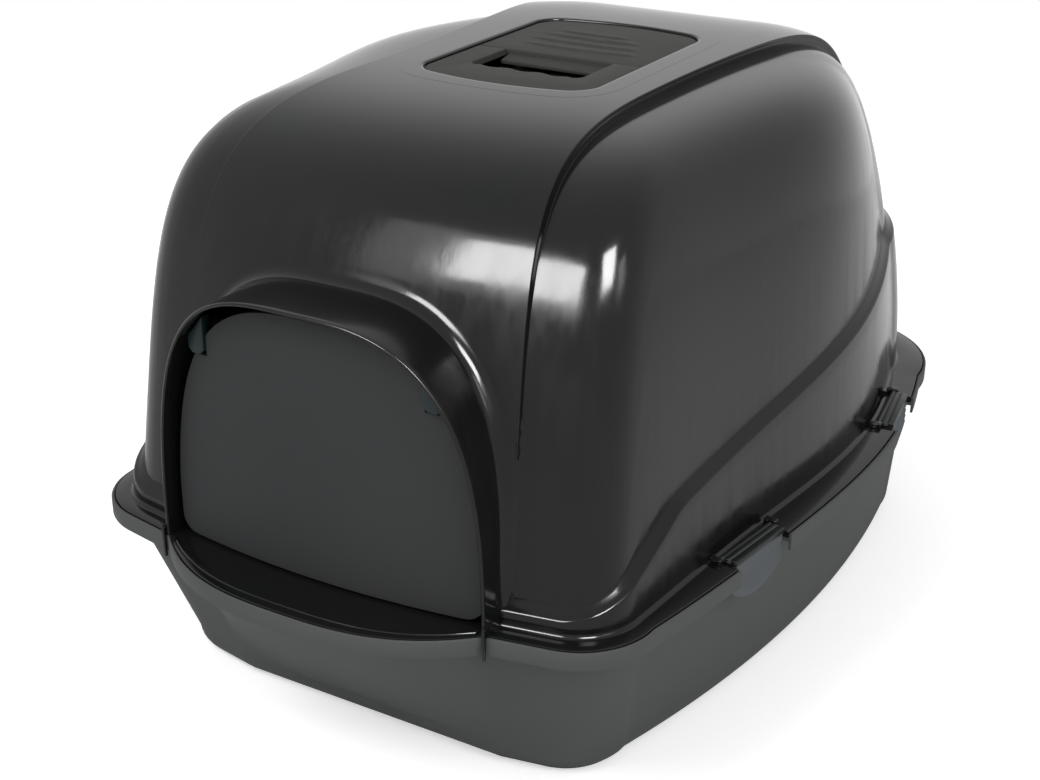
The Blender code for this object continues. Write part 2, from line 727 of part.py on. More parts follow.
def make_hood_shell(finish):
    shelf = RIM_TOP - SHELF_DROP + GAP
    flange_top = shelf + FLANGE_THICKNESS
    hood = make_dome("hood_shell", 0.0, shelf + 0.0010)
    hood.data.materials.append(finish)
    boolean(hood, make_skirt("skirt_outer", 0.0, shelf, True), "UNION")
    foot = RIM_TOP + GAP
    arch = arch_points(ARCH_HALF_WIDTH, ARCH_HEIGHT, foot, ARCH_POWER, 25)
    visor = prism("visor_outer", arch, visor_front(arch[:, 0]), VISOR_BACK_Y)
    boolean(hood, visor, "UNION")
    boolean(hood, make_dome("dome_inner", -WALL, shelf - 0.01), "DIFFERENCE")
    boolean(hood, make_skirt("skirt_inner", -WALL, shelf - 0.01, False), "DIFFERENCE")
    door = arch_points(ARCH_HALF_WIDTH - WALL, ARCH_HEIGHT - WALL, flange_top, ARCH_POWER, 25)
    boolean(hood, prism("door_cut", door, -0.40, VISOR_BACK_Y - 0.001), "DIFFERENCE")
    for side in (RIGHT, LEFT):
        inner = side * (RIM_FOOT_X + RUN)
        outer = side * (RIM_FOOT_X + TONGUE_WIDTH)
        name = "right" if side == RIGHT else "left"
        tongue = box(
            f"tongue_{name}",
            (min(inner, outer), RIM_FOOT_Y - 0.0026, RIM_TOP - TONGUE_DROP),
            (max(inner, outer), RIM_FOOT_Y - GAP, foot + 0.0010),
        )
        boolean(hood, tongue, "UNION")
        knee = box(
            f"knee_{name}",
            (min(inner, outer), RIM_FOOT_Y - 0.0026, foot),
            (max(inner, outer), RIM_FOOT_Y + 0.0060, foot + 0.0060),
        )
        boolean(hood, knee, "UNION")
    make_panel_recess(hood)
    for name, side, middle, turn in clip_frames():
        reach = CLIP_LENGTH / 2 + CLIP_SIDE_GAP
        pocket = box(
            f"clip_pocket_{name}",
            (-CLIP_AXIS_INSET - CLIP_BARREL_RADIUS - CLIP_SIDE_GAP, -reach, -0.0200),
            (0.0100, reach, CLIP_BARREL_RADIUS + 0.0020),
        )
        boolean(hood, placed(pocket, side, middle, turn), "DIFFERENCE")
        for end in (-1, 1):
            near = end * (reach + GAP)
            far = end * (reach + EAR_LENGTH)
            ear = box(
                f"ear_{name}_{'rear' if end > 0 else 'front'}",
                (-CLIP_AXIS_INSET - 0.0060, min(near, far), -CLIP_AXIS_RISE - 0.0020),
                (-CLIP_AXIS_INSET + EAR_RISE, max(near, far), EAR_RISE),
            )
            boolean(hood, placed(ear, side, middle, turn), "UNION")
        bore = cylinder(
            f"pin_bore_{name}",
            (-CLIP_AXIS_INSET, 0.0010 - reach - EAR_LENGTH, 0.0),
            (-CLIP_AXIS_INSET, reach + EAR_LENGTH - 0.0010, 0.0),
            CLIP_PIN_RADIUS + GAP,
            12,
        )
        boolean(hood, placed(bore, side, middle, turn), "DIFFERENCE")
    return smooth(hood)


def make_clip(name, side, middle, turn, finish):
    """An L-shaped clip: barrel and top plate on the flange, outer plate in the rim's notch."""
    top = CLIP_BARREL_RADIUS
    outer = -CLIP_FACE_INSET
    half = CLIP_LENGTH / 2
    plate = box(
        f"side_clip_{name}",
        (-CLIP_AXIS_INSET, -half, top - CLIP_PLATE + 0.0002),
        (outer - 0.0001, half, top),
        finish,
    )
    along = np.linspace(-half, half, 13)
    drop = CLIP_END_DROP + (CLIP_MIDDLE_DROP - CLIP_END_DROP) * (1.0 - (along / half) ** 2)
    lower = np.stack([along, top - drop], axis=1)
    shape = np.concatenate([[[half, top - 0.0002], [-half, top - 0.0002]], lower])
    rings = [
        np.column_stack([np.full(len(shape), depth), shape]) for depth in (outer - CLIP_PLATE, outer)
    ]
    hanging = loft(f"clip_hang_{name}", rings)
    barrel = cylinder(
        f"clip_barrel_{name}",
        (-CLIP_AXIS_INSET, -half, 0.0),
        (-CLIP_AXIS_INSET, half, 0.0),
        CLIP_BARREL_RADIUS,
        16,
    )
    bore = cylinder(
        f"clip_bore_{name}",
        (-CLIP_AXIS_INSET, -half - 0.01, 0.0),
        (-CLIP_AXIS_INSET, half + 0.01, 0.0),
        CLIP_PIN_RADIUS + GAP,
        12,
    )
    axis = Matrix.Translation(middle) @ Matrix.Rotation(turn, 4, "Z")
    axis = axis @ Matrix.Translation((-side * CLIP_AXIS_INSET, 0.0, 0.0))
    for piece in (plate, hanging, barrel, bore):
        for vertex in piece.data.vertices:
            vertex.co.x += CLIP_AXIS_INSET
        placed(piece, side, axis.to_translation(), turn)
    boolean(plate, hanging, "UNION")
    boolean(plate, barrel, "UNION")
    boolean(plate, bore, "DIFFERENCE")
    return smooth(plate)


def make_clip_pin(name, side, middle, turn, finish):
    reach = CLIP_LENGTH / 2 + CLIP_SIDE_GAP + EAR_LENGTH - 0.0010 - GAP
    pin = cylinder(
        f"clip_pin_{name}",
        (-CLIP_AXIS_INSET, -reach, 0.0),
        (-CLIP_AXIS_INSET, reach, 0.0),
        CLIP_PIN_RADIUS,
        12,
        finish,
    )
    return smooth(placed(pin, side, middle, turn))


def flap_depth(x):
    return FLAP_EDGE_Y - FLAP_BOW * (1.0 - (x / FLAP_HALF_WIDTH) ** 2)


def flap_shape(count):
    """Half-widths and heights of the flap's edge, from the bottom corner to the top."""
    start = math.asin(((FLAP_BOTTOM_Z + FLAP_CORNER - ARCH_BASE_Z) / FLAP_HEIGHT) ** (FLAP_POWER / 2))
    angles = np.linspace(start, math.pi / 2, count)
    x = FLAP_HALF_WIDTH * np.cos(angles) ** (2 / FLAP_POWER)
    z = ARCH_BASE_Z + FLAP_HEIGHT * np.sin(angles) ** (2 / FLAP_POWER)
    corner = half_arc(
        (x[0] - FLAP_CORNER, FLAP_BOTTOM_Z + FLAP_CORNER), FLAP_CORNER, -math.pi / 2, 0.0, 5
    )[:-1]
    return np.concatenate([corner, np.stack([x, z], axis=1)])


def make_door_flap(finish):
    """A curved sheet: columns across, each from the bottom edge to the top edge."""
    edge = flap_shape(16)
    columns = 21
    across = np.linspace(-1.0, 1.0, columns) * (FLAP_HALF_WIDTH - 0.0006)
    rising = edge[edge[:, 0].argmax() :][::-1]
    falling = edge[: edge[:, 0].argmax() + 1]
    top = np.interp(np.abs(across), rising[:, 0], rising[:, 1])
    bottom = np.interp(np.abs(across), falling[:, 0], falling[:, 1], left=FLAP_BOTTOM_Z)
    points = []
    for x, low, high in zip(across, bottom, top):
        middle = flap_depth(x)
        for y in (middle - FLAP_THICKNESS / 2, middle + FLAP_THICKNESS / 2):
            points += [(x, y, low), (x, y, high)]
    faces = [(0, 1, 3, 2)]
    for i in range(columns - 1):
        a = 4 * i
        b = a + 4
        faces += [
            (a, b, b + 1, a + 1),
            (a + 2, a + 3, b + 3, b + 2),
            (a, a + 2, b + 2, b),
            (a + 1, b + 1, b + 3, a + 3),
        ]
    last = 4 * (columns - 1)
    faces.append((last, last + 2, last + 3, last + 1))
    flap = add_object("door_flap", points, faces, finish)
    hinge_y = flap_depth(HINGE_X)
    for side, name in ((RIGHT, "right"), (LEFT, "left")):
        inner = side * (HINGE_X - HINGE_BARREL)
        outer = side * (HINGE_X - RUN)
        notch = box(
            f"flap_notch_{name}",
            (min(outer, side * 0.2), hinge_y - 0.02, HINGE_Z - BRACKET_DROP - 0.0015),
            (max(outer, side * 0.2), hinge_y + 0.02, 0.40),
        )
        boolean(flap, notch, "DIFFERENCE")
        barrel = cylinder(
            f"flap_barrel_{name}", (inner, hinge_y, HINGE_Z), (outer, hinge_y, HINGE_Z), HINGE_RADIUS, 16
        )
        boolean(flap, barrel, "UNION")
        bore = cylinder(
            f"flap_bore_{name}",
            (inner, hinge_y, HINGE_Z),
            (side * (HINGE_X + 0.01), hinge_y, HINGE_Z),
            HINGE_PIN_RADIUS + GAP,
            12,
        )
        boolean(flap, bore, "DIFFERENCE")
    return smooth(flap)


def make_flap_hinge(side, name, dark, steel):
    """The bracket that hangs from the visor beside the flap, and the pin through both."""
    hinge_y = flap_depth(HINGE_X)
    inner = side * HINGE_X
    outer = side * (HINGE_X + BRACKET_WIDTH)
    low = HINGE_Z - BRACKET_DROP
    arch = arch_points(ARCH_HALF_WIDTH - WALL, ARCH_HEIGHT - WALL, 0.128, ARCH_POWER, 25)
    right_half = arch[:13][::-1]
    inner_top = np.interp(HINGE_X, right_half[:, 0], right_half[:, 1]) - GAP
    outer_top = np.interp(HINGE_X + BRACKET_WIDTH, right_half[:, 0], right_half[:, 1]) - GAP
    shape = np.array([[inner, inner_top], [inner, low], [outer, low], [outer, outer_top]])
    if side == LEFT:
        shape = shape[::-1]
    bracket = prism(
        f"flap_bracket_{name}", shape, hinge_y - BRACKET_DEPTH / 2, hinge_y + BRACKET_DEPTH / 2
    )
    bracket.data.flip_normals()
    bracket.data.materials.append(dark)
    bore = cylinder(
        f"bracket_bore_{name}",
        (inner - side * 0.01, hinge_y, HINGE_Z),
        (side * (HINGE_X + BRACKET_WIDTH - 0.003), hinge_y, HINGE_Z),
        HINGE_PIN_RADIUS + GAP,
        12,
    )
    boolean(bracket, bore, "DIFFERENCE")
    pin = cylinder(
        f"flap_pin_{name}",
        (side * (HINGE_X - HINGE_BARREL + 0.0005), hinge_y, HINGE_Z),
        (side * (HINGE_X + BRACKET_WIDTH - 0.003 - GAP), hinge_y, HINGE_Z),
        HINGE_PIN_RADIUS,
        12,
        steel,
    )
    return smooth(bracket), smooth(pin)


def panel_barrel(owner, y, side, name, kind):
    """A barrel on one arm of a top piece, with the bore for its pin."""
    height = PANEL_TOP_Z - PANEL_BARREL_RADIUS
    outer = PANEL_HALF_WIDTH - PANEL_CLEARANCE
    barrel = cylinder(
        f"{kind}_barrel_{name}",
        (side * (outer - PANEL_BARREL_LENGTH), y, height),
        (side * (outer - 0.0002), y, height),
        PANEL_BARREL_RADIUS,
        16,
    )
    boolean(owner, barrel, "UNION")
    bore = cylinder(
        f"{kind}_bore_{name}",
        (side * (outer - PANEL_BARREL_LENGTH + 0.003), y, height),
        (side * (outer + 0.01), y, height),
        PANEL_PIN_RADIUS + GAP,
        12,
    )
    boolean(owner, bore, "DIFFERENCE")


def make_panel_pin(y, side, name, kind, hood, finish):
    height = PANEL_TOP_Z - PANEL_BARREL_RADIUS
    outer = PANEL_HALF_WIDTH - PANEL_CLEARANCE
    socket = cylinder(
        f"{kind}_socket_{name}",
        (side * (PANEL_HALF_WIDTH - 0.002), y, height),
        (side * (PANEL_HALF_WIDTH + WALL * 0.7), y, height),
        PANEL_PIN_RADIUS + GAP,
        12,
    )
    boolean(hood, socket, "DIFFERENCE")
    pin = cylinder(
        f"{kind}_pin_{name}",
        (side * (outer - PANEL_BARREL_LENGTH + 0.003 + GAP), y, height),
        (side * (PANEL_HALF_WIDTH + WALL * 0.7 - GAP), y, height),
        PANEL_PIN_RADIUS,
        12,
        finish,
    )
    return smooth(pin)


def make_carry_handle(finish):
    half = PANEL_HALF_WIDTH - PANEL_CLEARANCE
    rear = SPLIT_Y - PANEL_CLEARANCE
    slot_corner = (SLOT_HALF_WIDTH - SLOT_RADIUS, SLOT_FRONT_Y + SLOT_RADIUS)
    arm = np.array([[half, rear], [SLOT_HALF_WIDTH, rear]])
    arm = np.concatenate([arm, half_arc(slot_corner, SLOT_RADIUS, 0.0, -math.pi / 2, 5)])
    other_arm = arm[::-1] * [-1.0, 1.0]
    outline = np.concatenate([panel_end(PANEL_CLEARANCE, -1), arm, other_arm])
    eased = outline.copy()
    eased[outline[:, 1] > rear - 0.0001, 1] -= SPLIT_BEVEL
    rings = [
        at_height(outline, PANEL_TOP_Z - PANEL_THICKNESS),
        at_height(outline, PANEL_TOP_Z - SPLIT_BEVEL),
        at_height(eased, PANEL_TOP_Z),
    ]
    handle = loft("carry_handle", rings, finish)
    for side, name in ((RIGHT, "right"), (LEFT, "left")):
        panel_barrel(handle, SPLIT_Y - HANDLE_AXIS_BACK, side, name, "handle")
    return smooth(handle)


def make_filter_cover(finish):
    half = PANEL_HALF_WIDTH - PANEL_CLEARANCE
    ends = np.array([[half, SPLIT_Y], [-half, SPLIT_Y]])
    outline = np.concatenate([ends[:1], panel_end(PANEL_CLEARANCE, 1), ends[1:]])
    eased = outline.copy()
    eased[outline[:, 1] < SPLIT_Y + 0.0001, 1] += SPLIT_BEVEL
    rings = [
        at_height(outline, PANEL_TOP_Z - PANEL_THICKNESS),
        at_height(outline, PANEL_TOP_Z - SPLIT_BEVEL),
        at_height(eased, PANEL_TOP_Z),
    ]
    cover = loft("filter_cover", rings, finish)
    for side, name in ((RIGHT, "right"), (LEFT, "left")):
        panel_barrel(cover, SPLIT_Y + COVER_AXIS_BACK, side, name, "cover")
    return smooth(cover)


def make_carbon_filter(finish):
    floor = PANEL_TOP_Z - PANEL_DEPTH + GAP
    front = SPLIT_Y + COVER_AXIS_BACK + PANEL_BARREL_RADIUS + FILTER_MARGIN / 2
    rear = PANEL_REAR_Y - PANEL_LEDGE - FILTER_MARGIN / 2
    ring = rounded_ring(PANEL_HALF_WIDTH - FILTER_MARGIN, front, rear, 0.004, 3)
    rings = [at_height(ring, floor), at_height(ring, floor + FILTER_THICKNESS)]
    return loft("carbon_filter", rings, finish)


def main():
    clear_scene()
    tray_grey = material("tray_grey", (0.072, 0.074, 0.077), 0.5)
    hood_black = material("hood_black", (0.012, 0.013, 0.014), 0.16)
    flap_grey = material("flap_grey", (0.060, 0.062, 0.065), 0.55)
    panel_grey = material("panel_grey", (0.040, 0.041, 0.038), 0.6)
    bracket_black = material("bracket_black", (0.010, 0.016, 0.017), 0.4)
    pin_black = material("pin_black", (0.020, 0.020, 0.021), 0.45)
    carbon = material("carbon_felt", (0.015, 0.015, 0.015), 0.95)
    make_base_pan(tray_grey)
    hood = make_hood_shell(hood_black)
    make_door_flap(flap_grey)
    make_carry_handle(panel_grey)
    make_filter_cover(panel_grey)
    make_carbon_filter(carbon)
    for side, name in ((RIGHT, "right"), (LEFT, "left")):
        make_flap_hinge(side, name, bracket_black, pin_black)
        make_panel_pin(SPLIT_Y - HANDLE_AXIS_BACK, side, name, "handle", hood, pin_black)
        make_panel_pin(SPLIT_Y + COVER_AXIS_BACK, side, name, "cover", hood, pin_black)
    for name, side, middle, turn in clip_frames():
        make_clip(name, side, middle, turn, tray_grey)
        make_clip_pin(name, side, middle, turn, pin_black)


main()
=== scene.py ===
"""The looks of the hooded cat litter box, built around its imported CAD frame."""

import contextlib
import functools
import math

import bmesh
import bpy
import numpy as np
from mathutils import Matrix, Vector


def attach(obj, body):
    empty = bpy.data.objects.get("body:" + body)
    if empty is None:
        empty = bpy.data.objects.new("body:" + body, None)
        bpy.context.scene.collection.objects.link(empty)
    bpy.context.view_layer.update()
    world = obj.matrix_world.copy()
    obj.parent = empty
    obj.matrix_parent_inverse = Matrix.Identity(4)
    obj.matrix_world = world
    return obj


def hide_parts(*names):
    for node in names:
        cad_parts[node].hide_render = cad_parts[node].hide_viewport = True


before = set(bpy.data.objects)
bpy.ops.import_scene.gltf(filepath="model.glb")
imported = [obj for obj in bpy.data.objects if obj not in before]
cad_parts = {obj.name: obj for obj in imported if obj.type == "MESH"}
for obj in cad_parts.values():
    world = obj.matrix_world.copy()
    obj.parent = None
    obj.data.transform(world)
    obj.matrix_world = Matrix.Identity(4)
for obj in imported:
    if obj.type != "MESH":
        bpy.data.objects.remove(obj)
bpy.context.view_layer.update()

GAP = 0.0003
RUN = 0.0004
WALL = 0.0025
RIGHT = 1
LEFT = -1

# Tray rim and bottom, seen from above
RIM_FOOT_X = 0.1210
RIM_FOOT_Y = -0.2795
RIM_CORNER_X = 0.2060
RIM_REAR_X = 0.2240
RIM_REAR_Y = 0.3215
RIM_BULGE = 0.0256
RIM_SKEW = 0.0035
RIM_FRONT_RADIUS = 0.0530
RIM_REAR_RADIUS = 0.0965
RIM_SWEEP = 0.1845
LIP_BOW = 0.0415
LIP_POWER = 2.8
BASE_FRONT_Y = -0.2340
BASE_CORNER_X = 0.1720
BASE_REAR_X = 0.2060
BASE_REAR_Y = 0.2930
BASE_BULGE = 0.0215
BASE_FRONT_RADIUS = 0.0470
BASE_REAR_RADIUS = 0.0750
BASE_EDGE = 0.0120
FOOT_HEIGHT = 0.0030
FOOT_INSET = 0.0080
RIM_TOP = 0.1275
BAND_HEIGHT = 0.0125
BAND_WALL = 0.0020
SHELF_Z = RIM_TOP - 0.0040
SIDE_OVERHANG = 0.0120
LIP_OVERHANG = 0.0045

# Hood
FLANGE_TOP = SHELF_Z + GAP + 0.0045
SKIRT_PROUD = 0.0070
LEDGE_FRONT_Z = 0.1400
LEDGE_SIDE_RISE = 0.0300
LEDGE_REAR_Z = 0.2480
LEDGE_HEIGHT = 0.0070
DOME_FRONT_Y = -0.2570
DOME_REAR_Y = 0.3010
DOME_CORNER_X = 0.1850
DOME_REAR_X = 0.1940
DOME_BULGE = 0.0190
DOME_SKEW = 0.0065
DOME_FRONT_RADIUS = 0.0350
DOME_REAR_RADIUS = 0.0840
DOME_FOOT_X = 0.1240
FRONT_BOW = RIM_SWEEP * DOME_FOOT_X / 2
DOME_CENTRE_Y = 0.0400
DOME_START_Z = 0.1350
DOME_BASE_Z = 0.1255
TOP_Z = 0.4000
CHEEK_TOP_Z = TOP_Z - 0.0074
SPINE_PROUD = 0.0030
SPINE_WAIST_X = 0.0985
SPINE_WAIST_Y = -0.0400
SPINE_SPREAD_FRONT = 0.62
SPINE_SPREAD_REAR = 0.30
STEP_WIDTH = 0.0026
FRONT_DRAFT = 0.124
FRONT_POWER = 5.6
REAR_DRAFT = -0.030
REAR_POWER = 5.3
SIDE_DRAFT = 0.056
SIDE_POWER = 8.5
REAR_TAPER = 0.46
FRONT_TAPER = 0.047
TAPER_LENGTH = 0.27
FRONT_PART_Y = -0.12
TOP_PART_Z = 0.35
FAR = 0.6

# Visor, doorway and flap
ARCH_BASE_Z = 0.1100
ARCH_HALF_WIDTH = 0.1222
ARCH_HEIGHT = 0.2040
ARCH_POWER = 3.05
VISOR_FRONT_Y = -0.2795
VISOR_BOW = 0.0140
VISOR_BACK_Y = -0.2280
VISOR_EDGE = 0.0012
FILLET = 0.0075
PATCH = 0.0170
PATCH_LIFT = 0.00006
TONGUE_WIDTH = 0.0028
FLAP_HALF_WIDTH = 0.1163
FLAP_HEIGHT = 0.1955
FLAP_POWER = 2.8
FLAP_BOTTOM_Z = 0.1289
FLAP_EDGE_Y = -0.2670
FLAP_BOW = 0.0105
FLAP_THICKNESS = 0.0030
HINGE_X = 0.0803
HINGE_Z = 0.2720
BRACKET_DROP = 0.0080
BRACKET_WIDTH = 0.0120

# Panel on top
PANEL_HALF_WIDTH = 0.0665
PANEL_FRONT_Y = -0.0562
PANEL_REAR_Y = 0.1238
PANEL_BOW = 0.0115
PANEL_CORNER = 0.0150
PANEL_DEPTH = 0.0260
PANEL_TOP_Z = 0.3985
PANEL_THICKNESS = 0.0045
PANEL_CLEARANCE = 0.0012
SPLIT_Y = 0.0262
HANDLE_AXIS_Y = SPLIT_Y - 0.0087
COVER_AXIS_Y = SPLIT_Y + 0.0055
BRIM_RADIUS = 0.0012
PANEL_BARREL = 0.0036
SLOT_HALF_WIDTH = 0.0430
SLOT_FRONT_Y = -0.0250

# Clips
CLIP_LENGTH = 0.0600
CLIP_ROWS = (("front", -0.0998), ("rear", 0.1500))
CLIP_AXIS_INSET = 0.0165
CLIP_AXIS_RISE = 0.0008
CLIP_FACE_INSET = 0.0050
CLIP_PLATE = 0.0025
CLIP_END_DROP = 0.0250
CLIP_MIDDLE_DROP = 0.0355
CLIP_BARREL_RADIUS = 0.0025
CLIP_SIDE_GAP = 0.0008
CLIP_RIDGES = ((0.26, 0.10), (0.44, 0.16), (0.62, 0.24), (0.80, 0.34))

# Points on each stretch of an outline's half: lip, foot, corner, side, rear corner, rear
FINE = (24, 10, 18, 48, 26, 12)

# Camera, floor, lights and gloss
CAMERA_POSITION = (0.5605, -0.9976, 0.6716)
CAMERA_TARGET = (0.0316, -0.0819, 0.1905)
CAMERA_ROLL = 0.00484
CAMERA_LENS = 58.05
FLOOR_REACH = 1.30
FLOOR_Z = -0.0002
FLOOR_COLOUR = (0.86, 0.86, 0.86, 1.0)
WORLD_LEVEL = 0.62
FLOOR_LIFT = 0.45
FLOOR_GLOSS_LIFT = 0.10
LAMP_DISTANCE = 2.5
HOOD_SPECULAR = 0.24
MATT_SPECULAR = 0.1
SATIN_SPECULAR = 0.2
# Name, turn and rise in degrees, size, radiance, and whether it shows in gloss alone
LAMPS = (
    ("key", -30.0, 46.0, (1.2, 0.9), 8.0, False),
    ("side", 77.0, 27.0, (0.9, 1.3), 5.0, False),
    ("front_box", -5.7, 32.5, (1.04, 0.86), 34.0, True),
    ("front_halo", -11.0, 31.5, (1.75, 1.25), 3.0, True),
    ("right_box", 49.0, 38.5, (0.78, 1.02), 50.0, True),
    ("strip_box", 76.0, 26.0, (0.50, 0.70), 6.5, True),
)


# Mesh helpers --------


def link(name, data):
    made = bpy.data.objects.new(name, data)
    bpy.context.scene.collection.objects.link(made)
    return made


def new_object(name, points, faces):
    mesh = bpy.data.meshes.new(name)
    mesh.from_pydata(np.asarray(points, float).tolist(), [], faces)
    mesh.update()
    mesh.shade_smooth()
    return link(name, mesh)


def grid_faces(rows, columns, close_rows=False, close_columns=False, flip=False):
    faces = []
    for r in range(rows if close_rows else rows - 1):
        low = r * columns
        high = ((r + 1) % rows) * columns
        for c in range(columns if close_columns else columns - 1):
            d = (c + 1) % columns
            face = (low + c, low + d, high + d, high + c)
            faces.append(face[::-1] if flip else face)
    return faces


def sheet(name, points, close_rows=False, close_columns=False, flip=False):
    """A mesh through a grid of points, an array of rows by columns by three."""
    points = np.asarray(points, float)
    rows, columns = points.shape[:2]
    faces = grid_faces(rows, columns, close_rows, close_columns, flip)
    return new_object(name, points.reshape(-1, 3), faces)


def loft(name, rings):
    """A closed solid through rings of equally many points, from bottom to top."""
    points = np.asarray(rings, float)
    rows, columns = points.shape[:2]
    faces = grid_faces(rows, columns, close_columns=True)
    faces.append(tuple(range(columns))[::-1])
    faces.append(tuple((rows - 1) * columns + i for i in range(columns)))
    return new_object(name, points.reshape(-1, 3), faces)


def join(name, pieces, angle=38.0):
    """One mesh object from several."""
    made = bmesh.new()
    for piece in pieces:
        made.from_mesh(piece.data)
    mesh = bpy.data.meshes.new(name)
    made.to_mesh(mesh)
    made.free()
    for piece in pieces:
        bpy.data.objects.remove(piece)
    mesh.shade_smooth()
    mesh.set_sharp_from_angle(angle=math.radians(angle))
    return link(name, mesh)


@contextlib.contextmanager
def editing(piece):
    """A bmesh of a piece's mesh, which is written back at the end."""
    made = bmesh.new()
    made.from_mesh(piece.data)
    yield made
    made.to_mesh(piece.data)
    made.free()


def tidy(piece, angle=40.0, merge=1e-6):
    """Merges doubled points, drops empty faces and marks the sharp edges."""
    with editing(piece) as made:
        bmesh.ops.remove_doubles(made, verts=made.verts, dist=merge)
        bmesh.ops.dissolve_degenerate(made, edges=made.edges, dist=merge)
    piece.data.shade_smooth()
    piece.data.set_sharp_from_angle(angle=math.radians(angle))
    return piece


def capped(piece):
    """Closes a mesh's open ends and turns its faces outwards."""
    with editing(piece) as made:
        bmesh.ops.holes_fill(made, edges=[e for e in made.edges if e.is_boundary], sides=0)
        bmesh.ops.recalc_face_normals(made, faces=made.faces)
    return piece


def apply_modifiers(piece):
    graph = bpy.context.evaluated_depsgraph_get()
    mesh = bpy.data.meshes.new_from_object(piece.evaluated_get(graph))
    piece.modifiers.clear()
    piece.data = mesh
    return piece


def bevel(piece, width, segments=3, angle=35.0):
    modifier = piece.modifiers.new("bevel", "BEVEL")
    modifier.width = width
    modifier.segments = segments
    modifier.limit_method = "ANGLE"
    modifier.angle_limit = math.radians(angle)
    modifier.use_clamp_overlap = True
    return apply_modifiers(piece)


def carve(piece, cutters):
    """Cuts the cutters from a piece and removes them."""
    for cutter in cutters:
        modifier = piece.modifiers.new("cut", "BOOLEAN")
        modifier.operation = "DIFFERENCE"
        modifier.solver = "EXACT"
        modifier.object = cutter
    bpy.context.view_layer.update()
    apply_modifiers(piece)
    for cutter in cutters:
        bpy.data.objects.remove(cutter)
    return piece


def box(name, low, high):
    x0, y0, z0 = low
    x1, y1, z1 = high
    ring = np.array([[x0, y0], [x1, y0], [x1, y1], [x0, y1]])
    made = loft(name, [at_height(ring, z0), at_height(ring, z1)])
    made.data.shade_flat()
    return made


def bar(name, start, end, radius, sides=24):
    start = np.array(start, float)
    end = np.array(end, float)
    axis = (end - start) / np.linalg.norm(end - start)
    side = np.cross(axis, [0.0, 0.0, 1.0] if abs(axis[2]) < 0.9 else [1.0, 0.0, 0.0])
    side /= np.linalg.norm(side)
    other = np.cross(axis, side)
    angles = np.arange(sides) * 2 * math.pi / sides
    ring = np.outer(np.cos(angles), side) + np.outer(np.sin(angles), other)
    ease = radius * 0.15
    rings = [start + ring * (radius - ease), start + ring * radius + axis * ease]
    rings += [end + ring * radius - axis * ease, end + ring * (radius - ease)]
    return tidy(loft(name, rings))


def eased(*angles):
    """The sine and cosine of each angle, given in degrees."""
    turns = [math.radians(angle) for angle in angles]
    return [(math.sin(turn), math.cos(turn)) for turn in turns]


def smoothstep(value):
    value = np.clip(value, 0.0, 1.0)
    return value * value * (3.0 - 2.0 * value)


# Outlines --------


def half_arc(centre, radius, start, end, count):
    angles = np.linspace(start, end, count)
    return centre + radius * np.column_stack([np.cos(angles), np.sin(angles)])


def plan(foot_x, foot_y, corner_x, rear_x, rear_y, bulge, front_radius, rear_radius, skew, counts):
    """The right half of an outline seen from above, from the middle of the front to the rear."""
    lip, foot, corner_count, side_count, rear_count, back = counts
    across = np.linspace(0.0, foot_x, lip)
    front = np.stack([across, np.full(lip, foot_y)], axis=1)
    turn = math.pi / 2 - math.atan(RIM_SWEEP)
    corner_y = foot_y + RIM_SWEEP * (corner_x - foot_x)
    along = np.array([1.0, RIM_SWEEP]) / math.hypot(1.0, RIM_SWEEP)
    inward = np.array([-along[1], along[0]])
    tangent = np.array([corner_x, corner_y]) - along * front_radius * math.tan(turn / 2)
    share = np.linspace(0.0, 1.0, foot)[1:-1, None]
    straight = front[-1] * (1.0 - share) + tangent * share
    centre = tangent + inward * front_radius
    start = math.atan2(-inward[1], -inward[0])
    corner = half_arc(centre, front_radius, start, start + turn, corner_count)
    side_start = corner[-1][1]
    side_end = rear_y - rear_radius
    share = np.linspace(0.0, 1.0, side_count)[1:]
    bulged = 4.0 * bulge * share * (1.0 - share) - skew * np.sin(2.0 * math.pi * share)
    side_x = corner_x + (rear_x - corner_x) * share + bulged
    side = np.column_stack([side_x, side_start + (side_end - side_start) * share])
    rear_centre = (rear_x - rear_radius, side_end)
    rear = half_arc(rear_centre, rear_radius, 0.0, math.pi / 2, rear_count)[1:]
    share = np.linspace(0.0, 1.0, back)[1:]
    middle = np.stack([(rear_x - rear_radius) * (1.0 - share), np.full(back - 1, rear_y)], axis=1)
    return np.concatenate([front, straight, corner, side, rear, middle])


def whole(half):
    left = half[1:-1][::-1] * [-1.0, 1.0]
    return np.concatenate([half, left])


def at_height(outline, height):
    heights = np.broadcast_to(height, (len(outline),))
    return np.column_stack([outline, heights])


def rim_half(inset=0.0, lip_inset=None, counts=FINE):
    lip_inset = inset if lip_inset is None else lip_inset
    half = plan(
        RIM_FOOT_X, RIM_FOOT_Y + inset, RIM_CORNER_X - inset, RIM_REAR_X - inset,
        RIM_REAR_Y - inset, RIM_BULGE, RIM_FRONT_RADIUS - 0.6 * inset,
        RIM_REAR_RADIUS - inset, RIM_SKEW, counts,
    )
    lip = slice(0, counts[0])
    across = half[lip, 0] / RIM_FOOT_X
    half[lip, 1] += (lip_inset - inset) * (1.0 - across**6) - LIP_BOW * (1.0 - across**LIP_POWER)
    return half


def rim(inset=0.0, lip_inset=None):
    return whole(rim_half(inset, lip_inset))


def rim_rings(*steps):
    """Rings of the tray's rim, each from an inset and a height."""
    return [at_height(rim(inset), height) for inset, height in steps]


